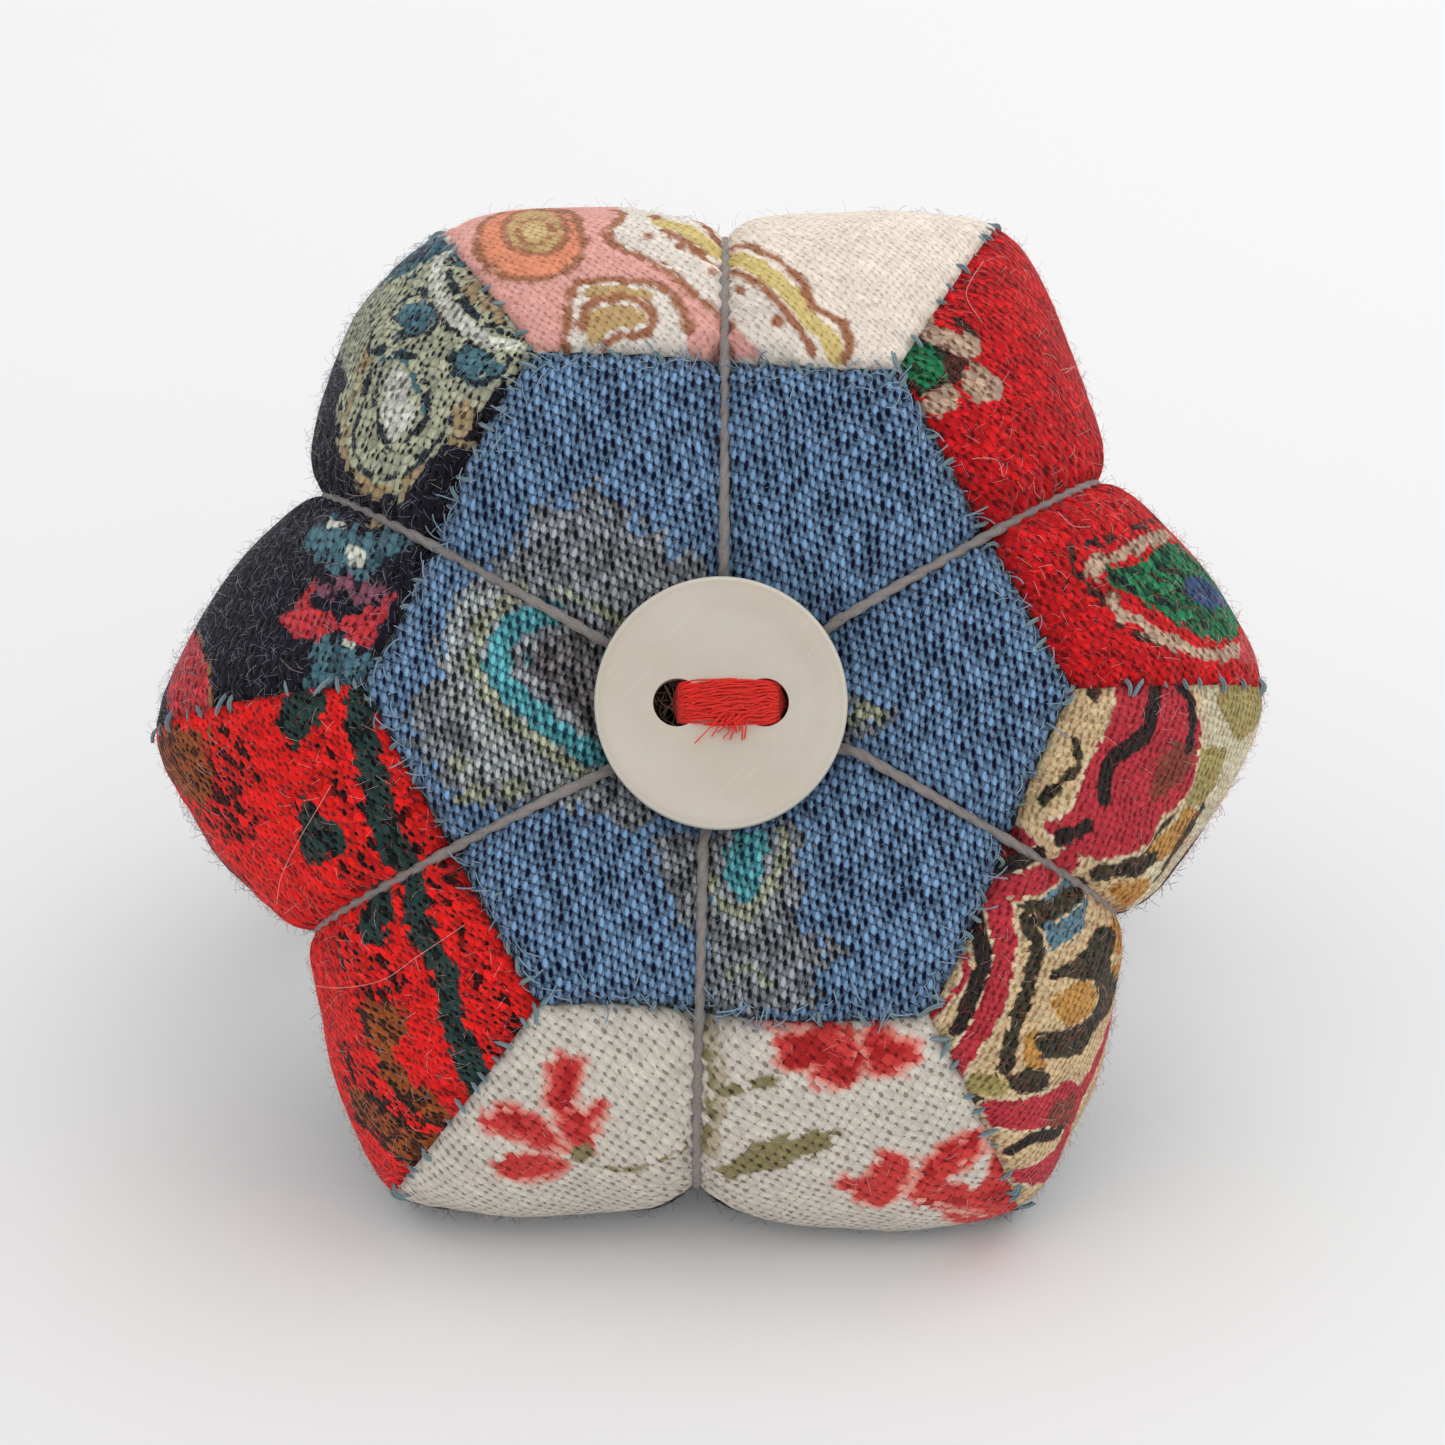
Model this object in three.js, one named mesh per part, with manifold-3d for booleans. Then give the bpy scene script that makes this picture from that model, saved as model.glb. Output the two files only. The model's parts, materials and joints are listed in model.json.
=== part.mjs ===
// Wrist pin cushion: a patchwork pad drawn into six lobes by one thread, with a button in the middle,
// leaning back on its own elastic wrist loop. The pad is built in its own frame, where X is across,
// Y is up the face and Z comes out of the face, and a group then tips it back and stands it on the floor.
import * as THREE from 'three';
import { mergeVertices } from 'three/addons/utils/BufferGeometryUtils.js';
import Module from 'manifold-3d';

const wasm = await Module();
wasm.setup();

// Driving sizes, in millimetres and degrees.
const clearance = 0.3; // between pieces that touch
const overrun = 1; // how far a cutter passes the face that it cuts

const leanAngle = 34; // the face looks this far above level
const settle = 0.8; // how far the soft lobes press flat on the floor

const lobes = 6;
const cornerReach = 35; // middle to a corner, where two side patches meet
const notchReach = 28; // middle to the cover under the thread
const shoulderSwell = 1.6; // how far a lobe swells just beside the thread
const frontRise = 14; // edge seam to the crown of the face
const backRise = 12; // edge seam to the flat back
const backFlatRadius = 19.5; // the back lies flat out to here
const hexagonApothem = 19.8; // middle of the centre patch to the middle of its side
const coverThickness = 0.6; // wool cloth with its turned edge
const dimpleDepth = 5; // how far the button pulls the face in
const dimpleReach = 8;
const shoulderGroove = 2.2; // depth of a groove where the face turns over
const grooveWidth = 3.4;
const grooveRound = 0.5;

const threadDiameter = 0.9;
const laneRadius = 1.9; // the thread's passes stand this far from the middle line
const coreRadius = 3.5; // of the way through the middle

const buttonRadius = 7.6;
const buttonThickness = 2;
const buttonEdgeRound = 0.45;
const buttonDish = 0.2;
const buttonDishRadius = 5.9;
const buttonHoleRadius = 1.45;
const buttonHoleSpacing = 5.25;
const buttonSlotWidth = 2.2;
const buttonSlotDepth = 1;

const flossRadius = 0.55;
const flossTail = 12; // how far the red floss runs down into the pad

const guardRadius = 20;
const guardThickness = 1;

const strapWidth = 20;
const strapThickness = 1.2;
const strapSettle = 0.5; // how far the loop's lower edge is pressed flat on the floor
const strapFlatHalf = 19; // half of the run that lies flat on the back
const strapEndReach = 8.5; // how far each end of the loop bows out past that run

const wristPadRadius = 18.5;
const wristPadThickness = 2;

// Shape of the pad: exponents and shares, which hold at any size.
const lobePointPower = 1.3; // how quickly a lobe narrows to its corner
const shoulderShare = 0.14; // share of half a lobe over which the swell beside the thread builds
const planPower = 3.6; // fullness of the face seen from the side
const crownPower = 2.2;
const backPlanPower = 2.2;
const backCrownPower = 2.2;
const grooveAtButtonShare = 0.55; // distance out, as a share of notchReach, where a groove is at full depth

// Mesh counts.
const columnShares = [0, 0.05, 0.14, 0.32, 0.55, 0.78, 1]; // across half a side patch, from its groove
const centreRowShares = [0, 0.16, 0.32, 0.5, 0.74, 1];
const patchRows = 6;
const backFlatRows = 2;
const backSideRows = 4;
const threadSides = 6;
const flossSides = 8;
const flossSteps = 30;
const roundSegments = 48;
const holeSegments = 24;
const strapEndSegments = 12;

const turn = 2 * Math.PI;
const sector = turn / lobes;
const firstGroove = sector / 2; // a corner lies on +X, so the grooves lie between corners
const lean = THREE.MathUtils.degToRad(leanAngle);
const floorUp = new THREE.Vector3(0, Math.cos(lean), Math.sin(lean)); // the floor's normal in the pad's frame
const threadRadius = threadDiameter / 2;
const threadSeat = threadRadius + clearance; // cover to the thread's middle line
const buttonGroove = threadDiameter + clearance; // depth of a groove where it passes under the button

// Distance round to the nearest groove, in radians.
function fromGroove(angle) {
  const share = (angle - firstGroove) / sector;
  return Math.abs(share - Math.round(share)) * sector;
}

// Middle to the edge seam, seen from the front.
function edgeReach(angle) {
  const share = fromGroove(angle) / (sector / 2);
  const swell = shoulderSwell * (1 - Math.exp(-share / shoulderShare));
  const point = (cornerReach - notchReach - shoulderSwell) * share ** lobePointPower;
  return notchReach + swell + point;
}

// How deep the groove is at a point, from 0 away from it to 1 at its bottom.
function grooveBell(angle, radius) {
  const aside = radius * Math.sin(Math.min(fromGroove(angle), sector / 2));
  return Math.exp((grooveRound - Math.hypot(aside, grooveRound)) / grooveWidth);
}

// A point of the face. sweep runs from 0 at the middle to 1 at the edge seam, and inset is how far
// inside the cloth's outer surface the point lies.
function facePoint(angle, sweep, inset = 0) {
  const t = (sweep * Math.PI) / 2;
  const radius = (edgeReach(angle) - inset) * Math.sin(t) ** (2 / planPower);
  const full = Math.min(1, radius / (notchReach * grooveAtButtonShare));
  const groove = THREE.MathUtils.lerp(buttonGroove, shoulderGroove, full) * Math.cos(t) ** (2 / crownPower);
  const dimple = dimpleDepth * Math.exp(-((radius / dimpleReach) ** 2));
  const crown = (frontRise - inset) * Math.cos(t) ** (2 / crownPower);
  const height = crown - dimple - groove * grooveBell(angle, radius);
  return new THREE.Vector3(radius * Math.cos(angle), radius * Math.sin(angle), height);
}

// A point of the back, which is flat in the middle. sweep runs from 0 at the rim of the flat to 1 at the edge seam.
function backPoint(angle, sweep, inset = 0, depthInset = inset) {
  const t = (sweep * Math.PI) / 2;
  const out = Math.sin(t) ** (2 / backPlanPower);
  const radius = THREE.MathUtils.lerp(backFlatRadius, edgeReach(angle) - inset, out);
  return backAt(angle, radius, Math.cos(t) ** (2 / backCrownPower), depthInset);
}

// A point of the back at a radius, where fade is 1 on the flat and 0 at the edge seam.
function backAt(angle, radius, fade, depthInset) {
  const groove = buttonGroove * fade * grooveBell(angle, radius);
  const depth = (backRise - depthInset) * fade - groove;
  return new THREE.Vector3(radius * Math.cos(angle), radius * Math.sin(angle), -depth);
}

// sweep of the face at a given radius
function faceSweep(angle, radius) {
  return Math.asin((radius / edgeReach(angle)) ** (planPower / 2)) / (Math.PI / 2);
}

// How far the pad reaches towards the floor, before it settles.
function padSupport() {
  let reach = 0;
  for (let i = 0; i <= 360; i++) {
    for (let j = 0; j <= 60; j++) {
      const angle = (i / 360) * turn;
      reach = Math.max(reach, -facePoint(angle, j / 60).dot(floorUp), -backPoint(angle, j / 60).dot(floorUp));
    }
  }
  return reach;
}
const floorDistance = padSupport() - settle;

// The floor presses the soft pad flat: what would lie below it moves straight up.
function pressed(point, inset = 0) {
  const below = -point.dot(floorUp) - (floorDistance - inset);
  return below > 0 ? point.addScaledVector(floorUp, below) : point;
}

// A closed shell between two sheets of points, each an array of rows that run outwards.
function shellBetween(outer, inner, { ring, faces }) {
  const rows = outer.length;
  const columns = outer[0].length;
  const positions = [];
  const indices = [];
  for (const sheet of [outer, inner]) for (const row of sheet) for (const p of row) positions.push(p.x, p.y, p.z);
  const at = (layer, i, j) => (layer * rows + i) * columns + (j % columns);
  const quad = (a, b, c, d) => {
    if (faces === 'front') indices.push(a, b, c, a, c, d);
    else indices.push(a, c, b, a, d, c);
  };
  const last = ring ? columns : columns - 1;
  for (let i = 0; i < rows - 1; i++) {
    for (let j = 0; j < last; j++) {
      quad(at(0, i, j), at(0, i + 1, j), at(0, i + 1, j + 1), at(0, i, j + 1));
      quad(at(1, i, j), at(1, i, j + 1), at(1, i + 1, j + 1), at(1, i + 1, j));
    }
    if (!ring) {
      quad(at(0, i + 1, 0), at(0, i, 0), at(1, i, 0), at(1, i + 1, 0));
      quad(at(0, i, last), at(0, i + 1, last), at(1, i + 1, last), at(1, i, last));
    }
  }
  for (let j = 0; j < last; j++) {
    quad(at(0, rows - 1, j + 1), at(0, rows - 1, j), at(1, rows - 1, j), at(1, rows - 1, j + 1));
    quad(at(0, 0, j), at(0, 0, j + 1), at(1, 0, j + 1), at(1, 0, j));
  }
  const geometry = new THREE.BufferGeometry();
  geometry.setAttribute('position', new THREE.Float32BufferAttribute(positions, 3));
  geometry.setIndex(indices);
  geometry.computeVertexNormals();
  return geometry;
}

// Angles of the columns all the way round, closest together beside each groove.
function ringAngles() {
  const angles = [];
  for (let k = 0; k < lobes; k++) {
    const groove = firstGroove + k * sector;
    for (let n = columnShares.length - 1; n > 0; n--) angles.push(groove - (columnShares[n] * sector) / 2);
    for (let n = 0; n < columnShares.length - 1; n++) angles.push(groove + (columnShares[n] * sector) / 2);
  }
  return angles;
}

// Middle to the side of the centre patch at an angle, for a hexagon of a given apothem.
function hexagonReach(angle, apothem) {
  return apothem / Math.cos(fromGroove(angle));
}

// The centre patch: a hexagon with the way through its middle.
function centrePatch() {
  const angles = ringAngles();
  const sheet = (inset) =>
    centreRowShares.map((share) =>
      angles.map((angle) => {
        const rim = hexagonReach(angle, hexagonApothem - clearance / 2);
        const radius = THREE.MathUtils.lerp(coreRadius, rim, share);
        return pressed(facePoint(angle, faceSweep(angle, radius), inset), inset);
      })
    );
  return shellBetween(sheet(0), sheet(coverThickness), { ring: true, faces: 'front' });
}

// One side patch, from the centre patch out over the edge, between two corners of the pad.
function sidePatch(grooveAngle) {
  const halves = [...columnShares.slice(1).reverse().map((s) => -s), ...columnShares];
  const seamSweep = (Math.acos((clearance / 2 / frontRise) ** (crownPower / 2)) * 2) / Math.PI;
  const sheet = (inset) =>
    Array.from({ length: patchRows + 1 }, (_, i) =>
      halves.map((half) => {
        const straight = grooveAngle + (half * sector) / 2;
        const start = faceSweep(straight, hexagonReach(straight, hexagonApothem + clearance / 2));
        const sweep = THREE.MathUtils.lerp(start, seamSweep, i / patchRows);
        const radius = edgeReach(straight) * Math.sin((sweep * Math.PI) / 2) ** (2 / planPower);
        const angle = grooveAngle + half * (sector / 2 - Math.asin(clearance / 2 / radius));
        return pressed(facePoint(angle, sweep, inset), inset);
      })
    );
  return shellBetween(sheet(0), sheet(coverThickness), { ring: false, faces: 'front' });
}

// The back panel: flat in the middle, then up to the edge seam.
function backRows(inset, depthInset, seamSweep) {
  const angles = ringAngles();
  const rows = [];
  for (let i = 0; i < backFlatRows; i++) {
    const radius = THREE.MathUtils.lerp(coreRadius, backFlatRadius, i / backFlatRows);
    rows.push(angles.map((angle) => pressed(backAt(angle, radius, 1, depthInset), inset)));
  }
  for (let i = 0; i <= backSideRows; i++) {
    const sweep = (i / backSideRows) * seamSweep;
    rows.push(angles.map((angle) => pressed(backPoint(angle, sweep, inset, depthInset), inset)));
  }
  return rows;
}

function backPanel() {
  const seamSweep = (Math.acos((clearance / 2 / backRise) ** (backCrownPower / 2)) * 2) / Math.PI;
  const sheet = (inset) => backRows(inset, inset, seamSweep);
  return shellBetween(sheet(0), sheet(coverThickness), { ring: true, faces: 'back' });
}

// Levels down through the back, measured from the edge seam.
const stuffingInset = coverThickness + clearance;
const guardFace = -(backRise - buttonGroove - coverThickness - clearance); // the side towards the wrist
const guardTop = guardFace + guardThickness;
const strapNear = -(backRise + clearance);
const strapFar = -(floorDistance + strapSettle - (Math.cos(lean) * strapWidth) / 2) / Math.sin(lean);
const wristPadTop = strapNear - strapThickness - clearance;

// The filling: a closed body under the cover, round the way through the middle, and flat over the guard disc.
function stuffing() {
  const angles = ringAngles();
  const faceRows = centreRowShares.map((share) =>
    angles.map((angle) => {
      const radius = THREE.MathUtils.lerp(coreRadius, hexagonReach(angle, hexagonApothem), share);
      return pressed(facePoint(angle, faceSweep(angle, radius), stuffingInset), stuffingInset);
    })
  );
  for (let i = 1; i <= patchRows / 2; i++) {
    faceRows.push(
      angles.map((angle) => {
        const start = faceSweep(angle, hexagonReach(angle, hexagonApothem));
        const sweep = THREE.MathUtils.lerp(start, 1, i / (patchRows / 2));
        return pressed(facePoint(angle, sweep, stuffingInset), stuffingInset);
      })
    );
  }
  const depthInset = backRise + guardTop + clearance + buttonGroove;
  const underside = backRows(stuffingInset, depthInset, 1);
  underside[underside.length - 1] = faceRows[faceRows.length - 1].map((p) => p.clone());
  const rows = [...faceRows, ...underside.slice(0, -1).reverse()];
  const closing = rows[0].map((p) => p.clone());
  return ringBody([...rows, closing]);
}

// A closed body from rings of points that come back to the first ring.
function ringBody(rows) {
  const columns = rows[0].length;
  const positions = rows.slice(0, -1).flatMap((row) => row.flatMap((p) => [p.x, p.y, p.z]));
  const count = rows.length - 1;
  const at = (i, j) => (i % count) * columns + (j % columns);
  const indices = [];
  for (let i = 0; i < count; i++) {
    for (let j = 0; j < columns; j++) {
      indices.push(at(i, j), at(i + 1, j), at(i + 1, j + 1), at(i, j), at(i + 1, j + 1), at(i, j + 1));
    }
  }
  const geometry = new THREE.BufferGeometry();
  geometry.setAttribute('position', new THREE.Float32BufferAttribute(positions, 3));
  geometry.setIndex(indices);
  geometry.computeVertexNormals();
  return geometry;
}

// A tube along a line of points, with flat ends.
function tubeAlong(points, radius, sides) {
  const tangents = points.map((p, i) => {
    const before = points[Math.max(0, i - 1)];
    const after = points[Math.min(points.length - 1, i + 1)];
    return after.clone().sub(before).normalize();
  });
  const normal = new THREE.Vector3(0, 0, 1).cross(tangents[0]);
  if (normal.length() < 0.1) normal.set(1, 0, 0);
  const positions = [];
  points.forEach((p, i) => {
    normal.addScaledVector(tangents[i], -normal.dot(tangents[i])).normalize();
    const side = tangents[i].clone().cross(normal);
    for (let k = 0; k < sides; k++) {
      const a = (k / sides) * turn;
      const q = p.clone().addScaledVector(normal, radius * Math.cos(a)).addScaledVector(side, radius * Math.sin(a));
      positions.push(q.x, q.y, q.z);
    }
  });
  const last = points.length - 1;
  positions.push(...points[0].toArray(), ...points[last].toArray());
  const startCap = points.length * sides;
  const at = (i, k) => i * sides + (k % sides);
  const indices = [];
  for (let k = 0; k < sides; k++) {
    for (let i = 0; i < last; i++) indices.push(at(i, k), at(i, k + 1), at(i + 1, k + 1), at(i, k), at(i + 1, k + 1), at(i + 1, k));
    indices.push(startCap, at(0, k + 1), at(0, k), startCap + 1, at(last, k), at(last, k + 1));
  }
  const geometry = new THREE.BufferGeometry();
  geometry.setAttribute('position', new THREE.Float32BufferAttribute(positions, 3));
  geometry.setIndex(indices);
  geometry.computeVertexNormals();
  return geometry;
}

// One thread goes up through the middle, out along a groove, round the edge, in along the back and
// up again one lane further on, once for each groove.
const sideSweepShares = [0, 0.22, 0.42, 0.6, 0.76, 0.9, 1];
const backSweepShares = [0.86, 0.68, 0.46, 0.2];
const laneFoot = guardTop; // a pass stands straight above this level
const laneHead = frontRise - dimpleDepth - buttonGroove - 2 * threadDiameter; // and below this one

function threadLoop(k) {
  const groove = firstGroove + k * sector;
  const polar = (radius, angle, height) =>
    new THREE.Vector3(radius * Math.cos(angle), radius * Math.sin(angle), height);
  const points = [polar(laneRadius, groove, laneFoot), polar(laneRadius, groove, laneHead)];
  const rideFrom = coreRadius + threadDiameter; // from here out the thread lies in its groove
  const lip = facePoint(groove, faceSweep(groove, coreRadius));
  const bend = threadSeat + clearance / 2;
  for (const share of [0, 1 / 3, 2 / 3]) {
    const a = (share * Math.PI) / 2;
    points.push(polar(coreRadius - bend * Math.cos(a), groove, lip.z + bend * Math.sin(a)));
  }
  points.push(facePoint(groove, faceSweep(groove, rideFrom), -bend));
  const shoulder = faceSweep(groove, hexagonApothem);
  for (const share of [1 / 4, 2 / 4, 3 / 4]) {
    const radius = THREE.MathUtils.lerp(rideFrom, hexagonApothem, share);
    points.push(facePoint(groove, faceSweep(groove, radius), -threadSeat));
  }
  for (const share of sideSweepShares) {
    points.push(facePoint(groove, THREE.MathUtils.lerp(shoulder, 1, share), -threadSeat));
  }
  for (const sweep of backSweepShares) points.push(backPoint(groove, sweep, -threadSeat));
  for (const share of [0, 1 / 3, 2 / 3]) {
    const radius = THREE.MathUtils.lerp(backFlatRadius - threadDiameter, coreRadius, share);
    points.push(backAt(groove, radius, 1, -threadSeat));
  }
  points.push(backAt(groove, coreRadius, 1, -threadSeat));
  const low = backAt(groove, coreRadius, 1, -threadSeat).z;
  points.push(polar(laneRadius + threadRadius * 2, groove + sector / 3, low + threadRadius));
  points.push(polar(laneRadius + threadRadius / 3, groove + (sector * 3) / 4, low + threadDiameter * 1.5));
  return points;
}

// Least gap between two stretches of a tube, leaving out stretches that follow on from each other.
function leastGap(points, diameter, apart) {
  const curve = new THREE.CatmullRomCurve3(points, false, 'centripetal');
  const samples = curve.getSpacedPoints(Math.round(curve.getLength() / (diameter / 3)));
  const step = curve.getLength() / (samples.length - 1);
  const skip = Math.ceil(apart / step);
  let least = Infinity;
  for (let i = 0; i < samples.length; i++) {
    for (let j = i + skip; j < samples.length; j++) least = Math.min(least, samples[i].distanceTo(samples[j]));
  }
  return least - diameter;
}

function dividerThread() {
  const points = Array.from({ length: lobes }, (_, k) => threadLoop(k)).flat();
  console.log('thread: least gap to itself', leastGap(points, threadDiameter, threadDiameter * 4).toFixed(2), 'mm');
  return tubeAlong(points, threadRadius, threadSides);
}

// A lathe profile of [radius, height] pairs, turned about the pad's Z axis.
function turned(profile, segments = roundSegments) {
  const points = profile.map(([radius, height]) => new THREE.Vector2(radius, height));
  return new THREE.LatheGeometry(points, segments).rotateX(Math.PI / 2);
}

// manifold-3d takes closed meshes with shared vertices merged.
function toSolid(geometry) {
  const bare = geometry.clone();
  bare.deleteAttribute('normal');
  bare.deleteAttribute('uv');
  const merged = mergeVertices(bare);
  return new wasm.Manifold(
    new wasm.Mesh({
      numProp: 3,
      vertProperties: new Float32Array(merged.attributes.position.array),
      triVerts: new Uint32Array(merged.index.array),
    })
  );
}

function toGeometry(solid) {
  const mesh = solid.getMesh();
  const geometry = new THREE.BufferGeometry();
  geometry.setAttribute('position', new THREE.Float32BufferAttribute(mesh.vertProperties, 3));
  geometry.setIndex(new THREE.Uint32BufferAttribute(mesh.triVerts, 1));
  geometry.computeVertexNormals();
  return geometry;
}

// The button sits on the lobes just inside its rim.
const buttonSeat = facePoint(0, faceSweep(0, buttonRadius)).z + clearance;

function button() {
  const round = (centreHeight, from) =>
    [0, 1, 2, 3].map((i) => {
      const a = from + (i / 3) * (Math.PI / 2);
      return [
        buttonRadius - buttonEdgeRound + buttonEdgeRound * Math.cos(a),
        centreHeight + buttonEdgeRound * Math.sin(a),
      ];
    });
  const blank = turned([
    [0, 0],
    ...round(buttonEdgeRound, -Math.PI / 2),
    ...round(buttonThickness - buttonEdgeRound, 0),
    [buttonDishRadius, buttonThickness - buttonDish],
    [0, buttonThickness - buttonDish],
  ]);
  const slot = new THREE.BoxGeometry(buttonHoleSpacing, buttonSlotWidth, buttonSlotDepth + overrun);
  slot.translate(0, 0, buttonThickness - buttonSlotDepth + (buttonSlotDepth + overrun) / 2);
  let solid = toSolid(blank).subtract(toSolid(slot));
  for (const side of [-1, 1]) {
    const height = buttonThickness + 2 * overrun;
    const hole = new THREE.CylinderGeometry(buttonHoleRadius, buttonHoleRadius, height, holeSegments);
    hole.rotateX(Math.PI / 2).translate((side * buttonHoleSpacing) / 2, 0, buttonThickness / 2);
    solid = solid.subtract(toSolid(hole));
  }
  return toGeometry(solid).translate(0, 0, buttonSeat);
}

// The red floss goes up one hole, across the bridge and down the other.
function buttonStitch() {
  const legX = buttonHoleSpacing / 2;
  const crest = buttonSeat + buttonThickness - buttonSlotDepth + clearance + flossRadius;
  const bend = flossRadius * 1.5;
  const half = [
    [legX, crest - flossTail],
    [legX, crest - 2 * bend],
    [legX, crest - bend],
    [legX - bend * 0.3, crest - bend * 0.3],
    [legX - bend, crest],
  ];
  const points = [
    ...half.map(([x, z]) => new THREE.Vector3(-x, 0, z)),
    ...half.reverse().map(([x, z]) => new THREE.Vector3(x, 0, z)),
  ];
  const ring = new THREE.Shape();
  ring.absarc(0, 0, flossRadius, 0, turn);
  return new THREE.ExtrudeGeometry(ring, {
    extrudePath: new THREE.CatmullRomCurve3(points, false, 'centripetal'),
    steps: flossSteps,
    curveSegments: flossSides / 2,
    bevelEnabled: false,
  });
}

// A stiff disc that keeps pins off the wrist, with the way through its middle.
function guardDisc() {
  return turned([
    [coreRadius, guardFace],
    [guardRadius, guardFace],
    [guardRadius, guardTop],
    [coreRadius, guardTop],
    [coreRadius, guardFace],
  ]);
}

// Outline of the loop seen along the arm: two flat runs joined by bowed ends.
function strapOutline(path, end, half, middle) {
  path.moveTo(-strapFlatHalf, middle + half);
  path.absellipse(-strapFlatHalf, middle, end, half, Math.PI / 2, Math.PI * 1.5, false);
  path.lineTo(strapFlatHalf, middle - half);
  path.absellipse(strapFlatHalf, middle, end, half, -Math.PI / 2, Math.PI / 2, false);
  path.closePath();
  return path;
}

function wristElastic() {
  const middle = (strapNear + strapFar) / 2;
  const half = (strapNear - strapFar) / 2;
  const loop = strapOutline(new THREE.Shape(), strapEndReach, half, middle);
  loop.holes.push(strapOutline(new THREE.Path(), strapEndReach - strapThickness, half - strapThickness, middle));
  const band = new THREE.ExtrudeGeometry(loop, {
    depth: strapWidth,
    curveSegments: strapEndSegments,
    bevelEnabled: false,
  });
  band.rotateX(Math.PI / 2).translate(0, strapWidth / 2, 0);
  const span = 2 * (strapWidth - strapFar); // wide enough for any part of the loop
  const below = new THREE.BoxGeometry(span, span, strapWidth);
  below.rotateX(lean - Math.PI / 2).translate(...floorUp.clone().multiplyScalar(-floorDistance - strapWidth / 2));
  return toGeometry(toSolid(band).subtract(toSolid(below)));
}

// The felt disc that hides the strap's joint and lies on the wrist. It is laid over the strap and
// comes up to the back on either side of it.
function wristPad() {
  const ridge = strapWidth / 2 + clearance;
  const foot = ridge + strapThickness + clearance;
  const shoulder = foot + clearance;
  const far = wristPadRadius + overrun;
  const section = new THREE.Shape(
    [
      [-far, strapNear],
      [-foot, strapNear],
      [-ridge, wristPadTop],
      [ridge, wristPadTop],
      [foot, strapNear],
      [far, strapNear],
      [far, strapNear - wristPadThickness],
      [shoulder, strapNear - wristPadThickness],
      [ridge + clearance, wristPadTop - wristPadThickness],
      [-ridge - clearance, wristPadTop - wristPadThickness],
      [-shoulder, strapNear - wristPadThickness],
      [-far, strapNear - wristPadThickness],
    ].map(([x, y]) => new THREE.Vector2(x, y))
  );
  const slab = new THREE.ExtrudeGeometry(section, { depth: 2 * far, bevelEnabled: false });
  slab.rotateX(Math.PI / 2).rotateZ(Math.PI / 2).translate(-far, 0, 0);
  const height = 2 * (backRise + wristPadThickness);
  const disc = new THREE.CylinderGeometry(wristPadRadius, wristPadRadius, height, roundSegments);
  disc.rotateX(Math.PI / 2).translate(0, 0, strapNear);
  return toGeometry(toSolid(slab).intersect(toSolid(disc)));
}

// Assembly.
const cloth = (color) => new THREE.MeshStandardMaterial({ color, roughness: 0.95, metalness: 0 });
const shellMaterial = new THREE.MeshStandardMaterial({ color: 0xd3cabd, roughness: 0.3, metalness: 0 });

const pad = new THREE.Group();
pad.rotation.x = Math.PI / 2 - lean;
pad.position.z = floorDistance;

function addPiece(name, geometry, material) {
  const mesh = new THREE.Mesh(geometry, material);
  mesh.name = name;
  pad.add(mesh);
}

const sidePatches = [
  ['patch_upper_right', 0xb4232c],
  ['patch_top', 0xe0a493],
  ['patch_upper_left', 0x2b2a38],
  ['patch_lower_left', 0xc9222b],
  ['patch_bottom', 0xcfc8bd],
  ['patch_lower_right', 0xc0a074],
];
addPiece('centre_patch', centrePatch(), cloth(0x56789c));
sidePatches.forEach(([name, color], k) => addPiece(name, sidePatch(firstGroove + k * sector), cloth(color)));
addPiece('back_panel', backPanel(), cloth(0x2b2a38));
addPiece('stuffing', stuffing(), cloth(0xe8e2d6));
addPiece('guard_disc', guardDisc(), new THREE.MeshStandardMaterial({ color: 0xdfe3e4, roughness: 0.5 }));
addPiece('divider_thread', dividerThread(), cloth(0x8f8681));
addPiece('button', button(), shellMaterial);
addPiece('button_stitch', buttonStitch(), cloth(0xd52419));
addPiece('wrist_elastic', wristElastic(), cloth(0x1d1d20));
addPiece('wrist_pad', wristPad(), cloth(0x39435a));

// The origin is on the floor, under the middle of the whole object.
const pinCushion = new THREE.Group();
pinCushion.add(pad);
const extent = new THREE.Box3().setFromObject(pinCushion, true);
pad.position.x -= (extent.min.x + extent.max.x) / 2;
pad.position.y -= (extent.min.y + extent.max.y) / 2;

export default pinCushion;
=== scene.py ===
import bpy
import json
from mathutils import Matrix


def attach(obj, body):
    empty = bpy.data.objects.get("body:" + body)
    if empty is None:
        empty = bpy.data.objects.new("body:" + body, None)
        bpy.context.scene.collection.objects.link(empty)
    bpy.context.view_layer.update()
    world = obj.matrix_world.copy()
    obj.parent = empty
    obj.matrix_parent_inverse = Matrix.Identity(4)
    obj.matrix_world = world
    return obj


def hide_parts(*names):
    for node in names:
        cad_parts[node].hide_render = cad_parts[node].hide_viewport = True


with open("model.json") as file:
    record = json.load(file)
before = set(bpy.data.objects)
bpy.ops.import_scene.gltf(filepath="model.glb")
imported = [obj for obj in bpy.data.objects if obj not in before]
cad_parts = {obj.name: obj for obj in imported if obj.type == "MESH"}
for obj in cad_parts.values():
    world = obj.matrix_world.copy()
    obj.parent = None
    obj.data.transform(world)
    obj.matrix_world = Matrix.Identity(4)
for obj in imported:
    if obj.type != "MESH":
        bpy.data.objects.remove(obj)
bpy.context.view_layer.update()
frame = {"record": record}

import json
import math

import bpy
import numpy as np
from mathutils import Matrix, Vector

# Shapes are worked out in millimetres in the pad's own frame: X across the face, Y up it and Z out
# of it. toWorld then leans them back onto the floor, in metres.
mm = 0.001

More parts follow.
